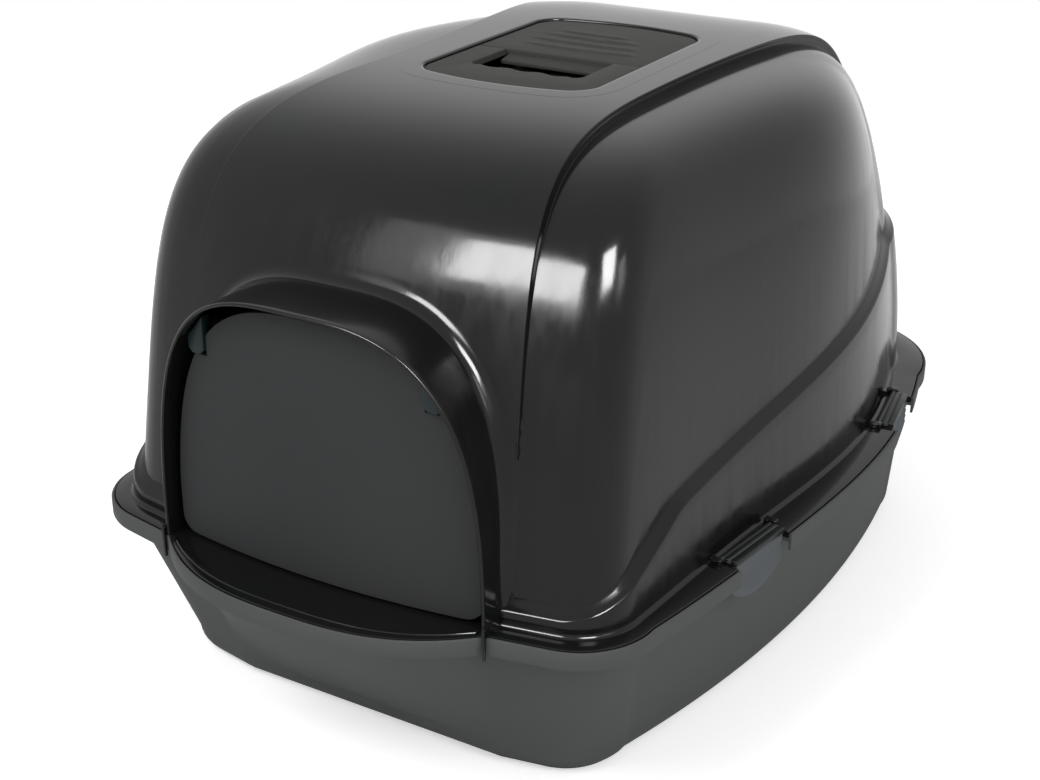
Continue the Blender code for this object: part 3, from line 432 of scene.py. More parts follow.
def base(inset=0.0):
    return whole(plan(
        RIM_FOOT_X * BASE_CORNER_X / RIM_CORNER_X, BASE_FRONT_Y + inset,
        BASE_CORNER_X - inset, BASE_REAR_X - inset, BASE_REAR_Y - inset, BASE_BULGE,
        BASE_FRONT_RADIUS - inset, BASE_REAR_RADIUS - inset, 0.0, FINE,
    ))


def hood_plan(outset, counts=FINE):
    half = plan(
        DOME_FOOT_X, DOME_FRONT_Y - outset, DOME_CORNER_X + outset, DOME_REAR_X + outset,
        DOME_REAR_Y + outset, DOME_BULGE, DOME_FRONT_RADIUS + outset,
        DOME_REAR_RADIUS + outset, DOME_SKEW, counts,
    )
    front = slice(0, counts[0])
    half[front, 1] -= FRONT_BOW * (1.0 - (half[front, 0] / DOME_FOOT_X) ** 2)
    return half


def hood_ring(outset):
    return whole(hood_plan(outset))


# Dome surface --------


def shrink(rise, front):
    """How far the dome has drawn in at a share of its height: along Y, and across X."""
    draft = np.where(front, FRONT_DRAFT, REAR_DRAFT)
    power = np.where(front, FRONT_POWER, REAR_POWER)
    along = (1.0 - draft * rise) * (1.0 - rise**power) ** (1.0 / power)
    across = (1.0 - SIDE_DRAFT * rise) * (1.0 - rise**SIDE_POWER) ** (1.0 / SIDE_POWER)
    return along, across


def side_taper(y, rise, front):
    reach = (y - DOME_CENTRE_Y) / TAPER_LENGTH
    return 1.0 - rise**2 * np.where(front, FRONT_TAPER, REAR_TAPER) * reach**2


@functools.lru_cache
def edge_table(outset):
    half = hood_plan(outset)
    return half, half[0, 1], half[-1, 1]


def inside_dome(x, y, z, outset, top):
    outline, front_y, rear_y = edge_table(outset)
    rise = np.clip((z - DOME_START_Z) / (top - DOME_START_Z), 0.0, 1.0)
    front = y < DOME_CENTRE_Y
    along, across = shrink(rise, front)
    across = across * side_taper(y, rise, front)
    flat_y = DOME_CENTRE_Y + (y - DOME_CENTRE_Y) / np.maximum(along, 1e-6)
    edge = np.interp(flat_y, outline[:, 1], outline[:, 0], left=0.0, right=0.0)
    lies_in = (np.abs(x) < edge * np.maximum(across, 1e-6)) & (z < top)
    return lies_in & (flat_y > front_y) & (flat_y < rear_y)


def halve(near, far, is_near, rounds=46):
    """Where is_near() turns false between two arrays, by repeated halving."""
    for _ in range(rounds):
        middle = (near + far) / 2
        low = is_near(middle)
        near = np.where(low, middle, near)
        far = np.where(low, far, middle)
    return (near + far) / 2


def march(start, direction, outset, top, far):
    """How far along each direction the dome's surface lies, from a start inside it."""

    def within(reach):
        at = start + direction * reach[..., None]
        return inside_dome(at[..., 0], at[..., 1], at[..., 2], outset, top)

    near = np.zeros(direction.shape[:-1])
    return halve(near, np.full(near.shape, far), within)


def spine_half_width(y):
    spread = np.where(y < SPINE_WAIST_Y, SPINE_SPREAD_FRONT, SPINE_SPREAD_REAR)
    return SPINE_WAIST_X + spread * (y - SPINE_WAIST_Y) ** 2


def raised(x, y):
    """1 on the raised band along the middle, 0 on the cheeks, with a rounded step between."""
    return smoothstep((spine_half_width(y) - np.abs(x)) / STEP_WIDTH + 0.5)


def dome_surface(start, direction, outset=0.0, far=FAR):
    """Points of the hood's upper shell along directions from points inside it."""
    low = march(start, direction, outset, CHEEK_TOP_Z + outset, far)
    high = march(start, direction, outset + SPINE_PROUD, TOP_Z + outset, far)
    at = start + direction * low[..., None]
    share = raised(at[..., 0], at[..., 1])
    reach = low + (high - low) * share
    return start + direction * reach[..., None]


def front_depth(x, z):
    """The Y of the hood's front face at points of the XZ plane."""
    start = np.stack([x, np.full_like(x, DOME_CENTRE_Y - 0.001), z], axis=-1)
    direction = np.broadcast_to([0.0, -1.0, 0.0], start.shape)
    return dome_surface(start, direction, far=0.4)[..., 1]


def on_top(inset, lift):
    """The panel's opening, enlarged or reduced, on the hood's top."""
    ring = panel_outline(inset)
    return at_height(ring, top_height(ring[:, 0], ring[:, 1]) + lift)


def top_height(x, y):
    start = np.stack([x, y, np.full_like(x, 0.30)], axis=-1)
    direction = np.broadcast_to([0.0, 0.0, 1.0], start.shape)
    return dome_surface(start, direction, far=0.2)[..., 2]


def dome_direction(turn, tilt):
    side, level = np.sin(tilt), np.cos(tilt)
    return np.stack([side, -level * np.cos(turn), level * np.sin(turn)], axis=-1)


def spread(curve, straight, bend, values, count):
    """Resamples values given along a curve, more closely where the curve bends."""
    across, up = np.diff(curve, axis=0).T
    heading = np.unwrap(np.arctan2(up, across))
    cost = np.hypot(across, up) / straight + np.abs(np.gradient(heading)) * bend
    total = np.concatenate([[0.0], np.cumsum(cost)])
    at = np.linspace(0.0, total[-1], count)
    return [np.interp(at, total, value) for value in values]


def even_turns(count):
    """Turns about the dome's middle, closer together where its profile curves more."""
    fine = np.linspace(0.0, math.pi, 1441)
    origin = np.array([0.0, DOME_CENTRE_Y, DOME_BASE_Z])
    direction = dome_direction(fine, np.zeros_like(fine))
    profile = direction[:, 1:] * march(origin, direction, 0.0, TOP_Z, FAR)[:, None]
    return spread(profile, 0.9, 1.0 / math.pi, [fine], count)[0]


def step_tilt(turns, origin):
    """The tilt at which each turn's section crosses the edge of the raised band."""

    def narrow(tilt):
        direction = dome_direction(turns, tilt)
        at = origin + direction * march(origin, direction, 0.0, CHEEK_TOP_Z, FAR)[..., None]
        return at[..., 0] < spine_half_width(at[..., 1])

    return halve(np.zeros_like(turns), np.full_like(turns, math.pi / 2 - 0.05), narrow, 40)


def dome_grid(outset, sections, spine, cheek):
    """The upper shell from the front (row 0) over the top to the rear, left to right."""
    origin = np.array([0.0, DOME_CENTRE_Y, DOME_BASE_Z])
    turns = even_turns(sections)
    edge = step_tilt(turns, origin)
    reach = march(origin, dome_direction(turns, edge), 0.0, CHEEK_TOP_Z, FAR)
    width = STEP_WIDTH * 0.62 / reach / np.cos(edge)
    inner = (edge - width)[:, None] * np.linspace(0.0, 1.0, spine)
    step = edge[:, None] + width[:, None] * np.linspace(-1.0, 1.0, 12)[1:-1]
    rest = math.pi / 2 - 0.002 - (edge + width)
    outer = (edge + width)[:, None] + rest[:, None] * np.linspace(0.0, 1.0, cheek) ** 0.85
    tilts = np.concatenate([inner, step, outer], axis=1)
    tilts = np.concatenate([-tilts[:, :0:-1], tilts], axis=1)
    direction = dome_direction(turns[:, None], tilts)
    return dome_surface(np.broadcast_to(origin, direction.shape), direction, outset)


# Visor and doorway --------


def arch(count, bottom, shrink_by=0.0):
    """The doorway's arch in the XZ plane, from its right foot over the top to its left foot."""
    half_width = ARCH_HALF_WIDTH - shrink_by
    height = ARCH_HEIGHT - shrink_by
    start = math.asin(((bottom - ARCH_BASE_Z) / height) ** (ARCH_POWER / 2))
    fine = np.linspace(start, math.pi - start, 2001)
    x = half_width * np.sign(np.cos(fine)) * np.abs(np.cos(fine)) ** (2 / ARCH_POWER)
    z = ARCH_BASE_Z + height * np.sin(fine) ** (2 / ARCH_POWER)
    return np.stack(spread(np.column_stack([x, z]), 1.0, 0.05, [x, z], count), axis=1)


def outward_normals(curve):
    tangent = np.gradient(curve, axis=0)
    normal = np.stack([tangent[:, 1], -tangent[:, 0]], axis=1)
    return normal / np.linalg.norm(normal, axis=1)[:, None]


def arch_distance(x, z):
    """How far points of the XZ plane lie outside the doorway's arch; negative inside it."""
    curve = arch(401, ARCH_BASE_Z + 0.0001)
    flat = np.stack([x.ravel(), z.ravel()], axis=1)
    parts = [flat[first : first + 4000, None] for first in range(0, len(flat), 4000)]
    gaps = [np.linalg.norm(part - curve, axis=2).min(axis=1) for part in parts]
    distance = np.concatenate(gaps)
    share = (np.abs(flat[:, 0]) / ARCH_HALF_WIDTH) ** ARCH_POWER
    share += (np.clip(flat[:, 1] - ARCH_BASE_Z, 0.0, None) / ARCH_HEIGHT) ** ARCH_POWER
    return np.where(share < 1.0, -distance, distance).reshape(x.shape)


def visor_front(x):
    return VISOR_FRONT_Y - VISOR_BOW * (1.0 - (x / ARCH_HALF_WIDTH) ** 2)


def at_depth(curve, depth):
    return np.column_stack([curve[:, 0], depth, curve[:, 1]])


def make_visor():
    """The visor's band with its soft fillet, which runs out onto the front face."""
    curve = arch(121, RIM_TOP + GAP)
    normal = outward_normals(curve)
    normal[0] = [1.0, 0.0]
    normal[-1] = [-1.0, 0.0]
    rows = []
    steps = [(offset, 0.0) for offset in (PATCH, 0.0145, 0.0120, 0.0098, FILLET)]
    for angle in np.linspace(0.12, math.pi / 2, 9):
        steps.append((FILLET * (1.0 - math.sin(angle)), FILLET * (1.0 - math.cos(angle))))
    for offset, rise in steps:
        at = curve + normal * offset
        rows.append(at_depth(at, front_depth(at[:, 0], at[:, 1]) - PATCH_LIFT - rise))
    root = rows[-1][:, 1]
    front = visor_front(curve[:, 0])
    for share in (0.25, 0.5, 0.75, 0.94):
        rows.append(at_depth(curve, root + (front + VISOR_EDGE - root) * share))
    half = WALL / 2
    for angle in np.linspace(0.0, math.pi, 9):
        at = curve - normal * (half - half * math.cos(angle))
        rows.append(at_depth(at, front + VISOR_EDGE - VISOR_EDGE * math.sin(angle)))
    for share in (0.15, 0.4, 0.7, 1.0):
        depth = front + VISOR_EDGE + (VISOR_BACK_Y - front) * share
        rows.append(at_depth(curve - normal * WALL, depth))
    return sheet("visor", rows)


def make_tongues():
    """The visor's feet, which stand in front of the tray's rim."""
    pieces = []
    y, z = RIM_FOOT_Y, RIM_TOP
    for side in (RIGHT, LEFT):
        low, high = sorted((side * (RIM_FOOT_X + RUN), side * (RIM_FOOT_X + TONGUE_WIDTH)))
        foot = box("foot", (low, y - 0.0026, z - 0.0150), (high, y - GAP, z + 0.0060))
        knee = box("knee", (low, y - 0.0020, z + GAP), (high, y + 0.0150, z + 0.0070))
        pieces += [bevel(foot, 0.0007, 2), knee]
    return pieces


# Hood pieces --------


def panel_outline(inset, steps=10):
    """The rounded opening for the top panel, its front and rear edges bowed outwards."""
    half = PANEL_HALF_WIDTH - inset
    front = PANEL_FRONT_Y + inset
    rear = PANEL_REAR_Y - inset
    radius = PANEL_CORNER - inset
    span = np.linspace(-1.0, 1.0, 25)[1:-1] * (half - radius)
    side = front + radius + (rear - front - 2 * radius) * np.linspace(0.0, 1.0, 12)[1:-1]
    right = np.concatenate([
        half_arc((half - radius, front + radius), radius, -math.pi / 2, 0.0, steps),
        np.stack([np.full(10, half), side], 1),
        half_arc((half - radius, rear - radius), radius, 0.0, math.pi / 2, steps),
    ])
    back = np.stack([span[::-1], np.full(23, rear)], 1)
    ring = np.concatenate([right, back, right[::-1] * [-1.0, 1.0], back[::-1]])
    ring[-23:, 1] = front
    middle = (PANEL_FRONT_Y + PANEL_REAR_Y) / 2
    bow = PANEL_BOW * (1.0 - (ring[:, 0] / half) ** 2)
    ring[:, 1] += np.sign(ring[:, 1] - middle) * bow
    return ring


def make_recess():
    """The sunk well for the handle and the cover, with a rounded brim on the dome."""
    rings = []
    for offset in (0.0160, 0.0120, 0.0080, 0.0040, 0.0018):
        rings.append(on_top(-offset, PATCH_LIFT))
    for sine, cosine in eased(30.0, 60.0, 90.0):
        rings.append(on_top(-BRIM_RADIUS * (1.0 - sine), -BRIM_RADIUS * (1.0 - cosine)))
    ledge = PANEL_TOP_Z - PANEL_THICKNESS - GAP
    floor = PANEL_TOP_Z - PANEL_DEPTH
    for inset, height in ((0.0, ledge), (WALL, ledge), (WALL, floor)):
        rings.append(at_height(panel_outline(inset), height))
    return sheet("recess", rings, close_columns=True, flip=True)


def ledge_height(outline):
    y = outline[:, 1]
    share = np.clip((y - DOME_FRONT_Y) / (DOME_REAR_Y - DOME_FRONT_Y), 0.0, 1.0)
    rise = LEDGE_SIDE_RISE * np.clip(share / 0.16, 0.0, 1.0) ** 1.2
    climb = (LEDGE_REAR_Z - LEDGE_FRONT_Z - LEDGE_SIDE_RISE) * share
    return LEDGE_FRONT_Z + rise + climb


def drafted(outline, height):
    """An outline of the dome's foot, drawn in as the dome is at this height."""
    x, y = outline[:, 0], outline[:, 1]
    front = y < DOME_CENTRE_Y
    rise = np.clip((height - DOME_START_Z) / (CHEEK_TOP_Z - DOME_START_Z), 0.0, 1.0)
    along, across = shrink(rise, front)
    new_y = DOME_CENTRE_Y + along * (y - DOME_CENTRE_Y)
    across = across * side_taper(new_y, rise, front)
    return np.column_stack([x * across, new_y, np.broadcast_to(height, x.shape)])


def behind_doorway(rows):
    """Rings cut open at the doorway: from its right foot round the rear to its left foot."""
    foot = FINE[0] - 1
    return np.array([np.roll(row, -foot, axis=0)[: len(row) - 2 * foot + 1] for row in rows])


def make_skirt():
    """The proud lower wall of the hood, from its fillet on the flange to the ledge."""
    ledge = ledge_height(hood_ring(SKIRT_PROUD))
    root = 0.0030
    edge = 0.0022
    rows = []
    for sine, cosine in eased(0.0, 22.0, 45.0, 67.0, 90.0):
        ring = hood_ring(SKIRT_PROUD + root * (1.0 - sine))
        rows.append(at_height(ring, FLANGE_TOP + root * (1.0 - cosine)))
    wall = hood_ring(SKIRT_PROUD)
    for share in np.linspace(0.1, 1.0, 7):
        height = FLANGE_TOP + root + (ledge - edge - FLANGE_TOP - root) * share
        rows.append(drafted(wall, height))
    for sine, cosine in eased(20.0, 40.0, 60.0, 78.0):
        ring = hood_ring(SKIRT_PROUD - edge * (1.0 - cosine))
        rows.append(drafted(ring, ledge - edge + edge * sine))
    slope = LEDGE_HEIGHT - 0.0020
    for share in (0.35, 0.7, 1.0):
        ring = hood_ring((SKIRT_PROUD - edge) * (1.0 - share) + 0.0002)
        rows.append(drafted(ring, ledge + slope * share))
    rows.append(drafted(hood_ring(-0.0035), ledge + LEDGE_HEIGHT))
    return sheet("skirt", behind_doorway(rows))


def clip_frames():
    half = rim_half()
    first = sum(FINE[:3]) - 3
    side = half[first : first + FINE[3] - 1]
    frames = []
    for row, y in CLIP_ROWS:
        ends = np.interp([y - CLIP_LENGTH / 2, y + CLIP_LENGTH / 2], side[:, 1], side[:, 0])
        outermost = np.interp(y, side[:, 1], side[:, 0])
        turn = -math.atan2(ends[1] - ends[0], CLIP_LENGTH)
        for way, name in ((RIGHT, "right"), (LEFT, "left")):
            middle = (way * outermost, y, FLANGE_TOP + CLIP_AXIS_RISE)
            frames.append((f"{row}_{name}", way, middle, way * turn))
    return frames


def place(piece, side, middle, turn):
    """Puts a piece that was built for the right side, its rim at X = 0, in its place."""
    with editing(piece) as made:
        if side == LEFT:
            bmesh.ops.transform(made, matrix=Matrix.Scale(-1, 4, (1, 0, 0)), verts=made.verts)
            bmesh.ops.reverse_faces(made, faces=made.faces)
        matrix = Matrix.Translation(middle) @ Matrix.Rotation(turn, 4, "Z")
        bmesh.ops.transform(made, matrix=matrix, verts=made.verts)
    return piece


def clip_room(back, low, high):
    """Cutters that clear the places of the four clips."""
    reach = CLIP_LENGTH / 2 + CLIP_SIDE_GAP
    corners = (back, -reach, low), (0.01, reach, high)
    return [place(box("room", *corners), *where) for _, *where in clip_frames()]


def make_flange():
    """The flat flange inside the tray's lip, a closed ring, cut back at each clip."""
    edge = BAND_WALL + RUN
    low = SHELF_Z + GAP
    top = FLANGE_TOP
    rows = [at_height(hood_ring(0.0045), low)]
    rows += rim_rings(
        (edge + 0.0004, low), (edge, low + 0.0004), (edge, top - 0.0010),
        (edge + 0.0003, top - 0.0003), (edge + 0.0010, top),
    )
    for outset, height in ((0.0100, top), (0.0052, top), (0.0045, top - 0.0008)):
        rows.append(at_height(hood_ring(outset), height))
    flange = sheet("flange", rows, close_rows=True, close_columns=True)
    back = -CLIP_AXIS_INSET - CLIP_BARREL_RADIUS - CLIP_SIDE_GAP
    return tidy(carve(flange, clip_room(back, -0.02, 0.006)), 30.0)


def make_sill():
    """A low curved ridge on the flange in the doorway, a little behind the tray's lip."""
    lip = rim_half(BAND_WALL + RUN)[: FINE[0]]
    lip = lip[lip[:, 0] < FLAP_HALF_WIDTH]
    lip = np.concatenate([lip[:0:-1] * [-1.0, 1.0], lip])
    share = 1.0 - 0.55 * (lip[:, 0] / FLAP_HALF_WIDTH) ** 2
    section = [(0.0058, -0.0004), (0.0064, 0.0006), (0.0072, 0.0009)]
    section += [(0.0094, 0.0007), (0.0104, 0.0002), (0.0108, -0.0004)]
    rows = []
    for back, height in section:
        line = np.column_stack([lip[:, 0], lip[:, 1] + back * share])
        rows.append(at_height(line, FLANGE_TOP + height))
    return sheet("sill", rows)


def make_ears():
    pieces = []
    for _, *where in clip_frames():
        for end in (-1, 1):
            near = end * (CLIP_LENGTH / 2 + CLIP_SIDE_GAP + GAP)
            near, far = sorted((near, near + end * 0.0050))
            low = (-CLIP_AXIS_INSET - 0.0060, near, -CLIP_AXIS_RISE - 0.0005)
            ear = bevel(box("ear", low, (-CLIP_AXIS_INSET + 0.0032, far, 0.0032)), 0.0009)
            ear.data.shade_smooth()
            pieces.append(place(ear, *where))
    return pieces


def pierced(name, grid, hidden, flip=False):
    """A sheet through a grid of points, without the faces that hidden() picks out."""
    faces = np.array(grid_faces(*grid.shape[:2], flip=flip))
    points = grid.reshape(-1, 3)
    gone = hidden(points, faces)
    return new_object(name, points, [tuple(face) for face in faces[~gone]])


def behind_outline(points, faces):
    """The dome's faces that the visor's patch and the recess's patch stand for."""
    distance = arch_distance(points[:, 0], points[:, 2])
    hidden_front = (distance < PATCH - 0.0045) & (points[:, 1] < FRONT_PART_Y)
    ring = panel_outline(-0.0115)
    middle_y = (PANEL_FRONT_Y + PANEL_REAR_Y) / 2
    angle = np.arctan2(points[:, 1] - middle_y, points[:, 0])
    ring_angle = np.arctan2(ring[:, 1] - middle_y, ring[:, 0])
    order = np.argsort(ring_angle)
    ring_reach = np.hypot(ring[:, 0], ring[:, 1] - middle_y)[order]
    limit = np.interp(angle, ring_angle[order], ring_reach, period=2 * math.pi)
    close = np.hypot(points[:, 0], points[:, 1] - middle_y) < limit
    hidden_top = close & (points[:, 2] > TOP_PART_Z)
    return hidden_front[faces].all(axis=1) | hidden_top[faces].all(axis=1)


def behind_openings(points, faces):
    """The inner shell's faces in the doorway and under the top panel."""
    distance = arch_distance(points[:, 0], points[:, 2])[faces].mean(axis=1)
    doorway = (distance < 0.001) & (points[faces][:, :, 1].mean(axis=1) < FRONT_PART_Y)
    top = (np.abs(points[:, 0]) < PANEL_HALF_WIDTH) & (points[:, 2] > TOP_PART_Z)
    top &= (points[:, 1] > PANEL_FRONT_Y) & (points[:, 1] < PANEL_REAR_Y)
    return doorway | top[faces].all(axis=1)


def make_dome():
    """The upper shell with its doorway and the opening for the top panel."""
    return pierced("dome", dome_grid(0.0, 150, 24, 62), behind_outline)


def make_inner_shell():
    """The inside of the hood, seen through the doorway and when the hood is off."""
    shell = pierced("inner", dome_grid(-WALL, 60, 10, 24), behind_openings, flip=True)
    ledge = ledge_height(hood_ring(SKIRT_PROUD))
    skirt = hood_ring(SKIRT_PROUD - WALL)
    rows = [at_height(skirt, SHELF_Z + GAP), drafted(skirt, ledge - 0.001)]
    rows.append(drafted(hood_ring(-WALL), ledge + 0.003))
    return [shell, sheet("inner_skirt", behind_doorway(rows), flip=True)]


def make_well():
    """The outside of the well, under the top, and its floor with the grille."""
    floor = PANEL_TOP_Z - PANEL_DEPTH
    outer = panel_outline(-WALL)
    rows = [at_height(outer, TOP_Z - WALL), at_height(outer, floor - WALL)]
    walls = sheet("well_wall", rows, close_columns=True)
    plate = loft("well_floor", [at_height(outer, floor - WALL), at_height(outer, floor)])
    bay_front = COVER_AXIS_Y + PANEL_BARREL + 0.0040
    bay_rear = PANEL_REAR_Y - 0.0035 - 0.0080
    pitch = (bay_rear - bay_front) / 7
    cutters = []
    for i in range(7):
        middle = bay_front + pitch * (i + 0.5)
        low = (-PANEL_HALF_WIDTH + 0.016, middle - 0.002, floor - 0.01)
        high = (PANEL_HALF_WIDTH - 0.016, middle + 0.002, floor + 0.01)
        cutters.append(box("grille", low, high))
    return [walls, tidy(carve(plate, cutters), 30.0)]


def make_hood():
    pieces = [make_dome(), make_visor(), make_skirt(), make_recess(), make_flange()]
    pieces += make_inner_shell() + make_well() + make_tongues() + make_ears() + [make_sill()]
    return join("hood", pieces)


# Tray --------


def wall_ring(share, inset):
    top = rim(SIDE_OVERHANG + inset, LIP_OVERHANG + inset)
    return base(inset) * (1.0 - share) + top * share


def make_pan():
    band_bottom = RIM_TOP - BAND_HEIGHT
    low = FOOT_HEIGHT + BASE_EDGE
    under = SHELF_Z - WALL
    rings = [at_height(base(FOOT_INSET + 0.0006), 0.0)]
    rings += [at_height(base(FOOT_INSET), height) for height in (0.0006, FOOT_HEIGHT - 0.0004)]
    for sine, cosine in eased(*np.linspace(20.0, 90.0, 8)):
        inset = FOOT_INSET * 0.97 * (1.0 - sine)
        rings.append(at_height(base(inset), FOOT_HEIGHT + BASE_EDGE * (1.0 - cosine) * 0.98))
    for share in np.linspace(0.0, 1.0, 12)[1:]:
        rings.append(at_height(wall_ring(share, 0.0), low + (under - 0.0016 - low) * share))
    for sine, cosine in eased(30.0, 60.0, 90.0):
        top = rim(SIDE_OVERHANG - 0.0016 * (1 - cosine), LIP_OVERHANG - 0.0008)
        rings.append(at_height(top, under - 0.0016 + 0.0016 * sine))
    band = BAND_WALL
    rings += rim_rings(
        (band, under + 0.0001), (band, band_bottom + 0.0006), (band - 0.0005, band_bottom),
        (0.0010, band_bottom), (0.0003, band_bottom + 0.0003), (0.0, band_bottom + 0.0010),
        (0.0, band_bottom + 0.0060), (0.0, RIM_TOP - 0.0009), (0.0003, RIM_TOP - 0.0003),
        (0.0008, RIM_TOP), (band - 0.0005, RIM_TOP), (band, RIM_TOP - 0.0005), (band, SHELF_Z),
    )
    rings.append(at_height(wall_ring(1.0, WALL - 0.0008), SHELF_Z - 0.0001))
    rings.append(at_height(wall_ring(1.0, WALL), SHELF_Z - 0.0009))
    for share in (0.8, 0.6, 0.4, 0.2, 0.0):
        rings.append(at_height(wall_ring(share, WALL), low + (under - low) * share))
    for sine, cosine in eased(30.0, 60.0, 90.0):
        inset = WALL + 0.0105 * (1.0 - cosine)
        rings.append(at_height(base(inset), low - (low - FOOT_HEIGHT - WALL) * sine))
    back = -CLIP_FACE_INSET - CLIP_PLATE - RUN * 2
    return tidy(carve(loft("pan", rings), clip_room(back, -CLIP_MIDDLE_DROP, 0.01)), 32.0)


# Flap --------


def flap_depth(x):
    return FLAP_EDGE_Y - FLAP_BOW * (1.0 - (x / FLAP_HALF_WIDTH) ** 2)


def flap_top(x):
    share = np.clip(np.abs(x) / FLAP_HALF_WIDTH, 0.0, 1.0) ** FLAP_POWER
    return ARCH_BASE_Z + FLAP_HEIGHT * (1.0 - share) ** (1.0 / FLAP_POWER)


def make_flap():
    """The curved sheet of the door, with a rounded edge, its brackets' notches and barrels."""
    columns = 97
    across = np.sin(np.linspace(-math.pi / 2, math.pi / 2, columns))
    across = across * (FLAP_HALF_WIDTH - 0.0012)
    top = np.maximum(flap_top(across) - 0.0012, FLAP_BOTTOM_Z + 0.0125)
    corner = np.clip((np.abs(across) - (FLAP_HALF_WIDTH - 0.0132)) / 0.0120, 0.0, 1.0)
    corner = np.minimum(corner, 0.999)
    bottom = FLAP_BOTTOM_Z + 0.0012 + 0.0115 * (1.0 - np.sqrt(1.0 - corner**2))
    half = FLAP_THICKNESS / 2
    middle = flap_depth(across)
    front, back = [], []
    for share in np.linspace(0.0, 1.0, 41):
        height = bottom + (top - bottom) * share
        front.append(np.column_stack([across, middle - half, height]))
        back.append(np.column_stack([across, middle + half, height]))
    flap = capped(sheet("flap", front + back[::-1], close_rows=True))
    hinge_y = flap_depth(HINGE_X)
    end = HINGE_X - RUN
    notch_z = HINGE_Z - BRACKET_DROP - 0.0015
    cutters, pieces = [], [flap]
    for side in (RIGHT, LEFT):
        low, high = sorted((side * end, side * 0.2))
        cutters.append(box("notch", (low, hinge_y - 0.02, notch_z), (high, hinge_y + 0.02, 0.40)))
        inner, outer = side * (HINGE_X - 0.012), side * end
        axis = hinge_y + 0.0010, HINGE_Z
        pieces.append(bar("barrel", (inner, *axis), (outer, *axis), 0.0024))
    carve(flap, cutters)
    tidy(bevel(flap, 0.0009, 3, 50.0))
    return join("flap", pieces, 40.0)


def make_bracket(side, name):
    hinge_y = flap_depth(HINGE_X)
    low = HINGE_Z - BRACKET_DROP
    curve = arch(241, 0.128, WALL)
    right = curve[:121][::-1]
    inner = np.interp(HINGE_X, right[:, 0], right[:, 1]) - GAP
    outer = np.interp(HINGE_X + BRACKET_WIDTH, right[:, 0], right[:, 1]) - GAP
    wide, cut = BRACKET_WIDTH, 0.003
    shape = [(0.0, inner), (0.0, low + cut), (cut, low)]
    shape += [(wide - cut, low), (wide, low + cut), (wide, outer)]
    back, front = (
        [(side * (HINGE_X + x), hinge_y + y, z) for x, z in shape] for y in (0.004, -0.004)
    )
    bracket = capped(loft(name, [back, front] if side == RIGHT else [front, back]))
    return tidy(bevel(bracket, 0.0007))


# Top panel --------


def plate_from_outline(name, outline):
    """A flat moulded plate of the top panel with an eased upper edge."""
    mesh = bpy.data.meshes.new(name)
    made = bmesh.new()
    bottom = PANEL_TOP_Z - PANEL_THICKNESS
    face = made.faces.new([made.verts.new((x, y, bottom)) for x, y in outline])
    result = bmesh.ops.extrude_face_region(made, geom=[face])
    lifted = [g for g in result["geom"] if isinstance(g, bmesh.types.BMVert)]
    bmesh.ops.translate(made, verts=lifted, vec=(0, 0, PANEL_TOP_Z - bottom))
    bmesh.ops.recalc_face_normals(made, faces=made.faces)
    edges = [e for e in made.edges if all(abs(v.co.z - PANEL_TOP_Z) < 1e-7 for v in e.verts)]
    bmesh.ops.bevel(made, geom=edges, offset=0.0010, segments=3, affect="EDGES", profile=0.5)
    made.to_mesh(mesh)
    made.free()
    return tidy(link(name, mesh), 35.0)


def panel_barrels(axis_y):
    """The two short barrels under an arm or under the cover, on the panel's hinge pins."""
    half = PANEL_HALF_WIDTH - PANEL_CLEARANCE
    z = PANEL_TOP_Z - PANEL_BARREL
    bars = []
    for side in (RIGHT, LEFT):
        ends = [(side * (half - back), axis_y, z) for back in (0.014, 0.0002)]
        bars.append(bar("barrel", *ends, PANEL_BARREL))
    return bars


def ridge_height(along, across, lines):
    """A family of soft swooping ridges: each line is (offset, start, end)."""
    height = np.zeros_like(along)
    for offset, start, end in lines:
        centre = offset + 0.30 * (along - 0.5) ** 2
        gap = (centre - across) / 0.045
        rounded = np.exp(-((gap / np.where(gap > 0, 0.2, 2.2)) ** 2))
        ends = smoothstep((along - start) / 0.25) * smoothstep((end - along) / 0.12)
        height = np.maximum(height, rounded * ends)
    return height


def relief_plate(name, low, high, lines, depth):
    """A thin raised sheet of ridges on top of a plate, between two corners."""
    along, across = np.meshgrid(np.linspace(0.0, 1.0, 120), np.linspace(0.0, 1.0, 90))
    height = ridge_height(along, across, lines) * depth
    edge = np.minimum.reduce([along, 1 - along, across, 1 - across])
    height *= smoothstep(edge / 0.04)
    x = low[0] + (high[0] - low[0]) * along
    y = low[1] + (high[1] - low[1]) * across
    return sheet(name, np.stack([x, y, PANEL_TOP_Z - 0.00015 + height], axis=-1))


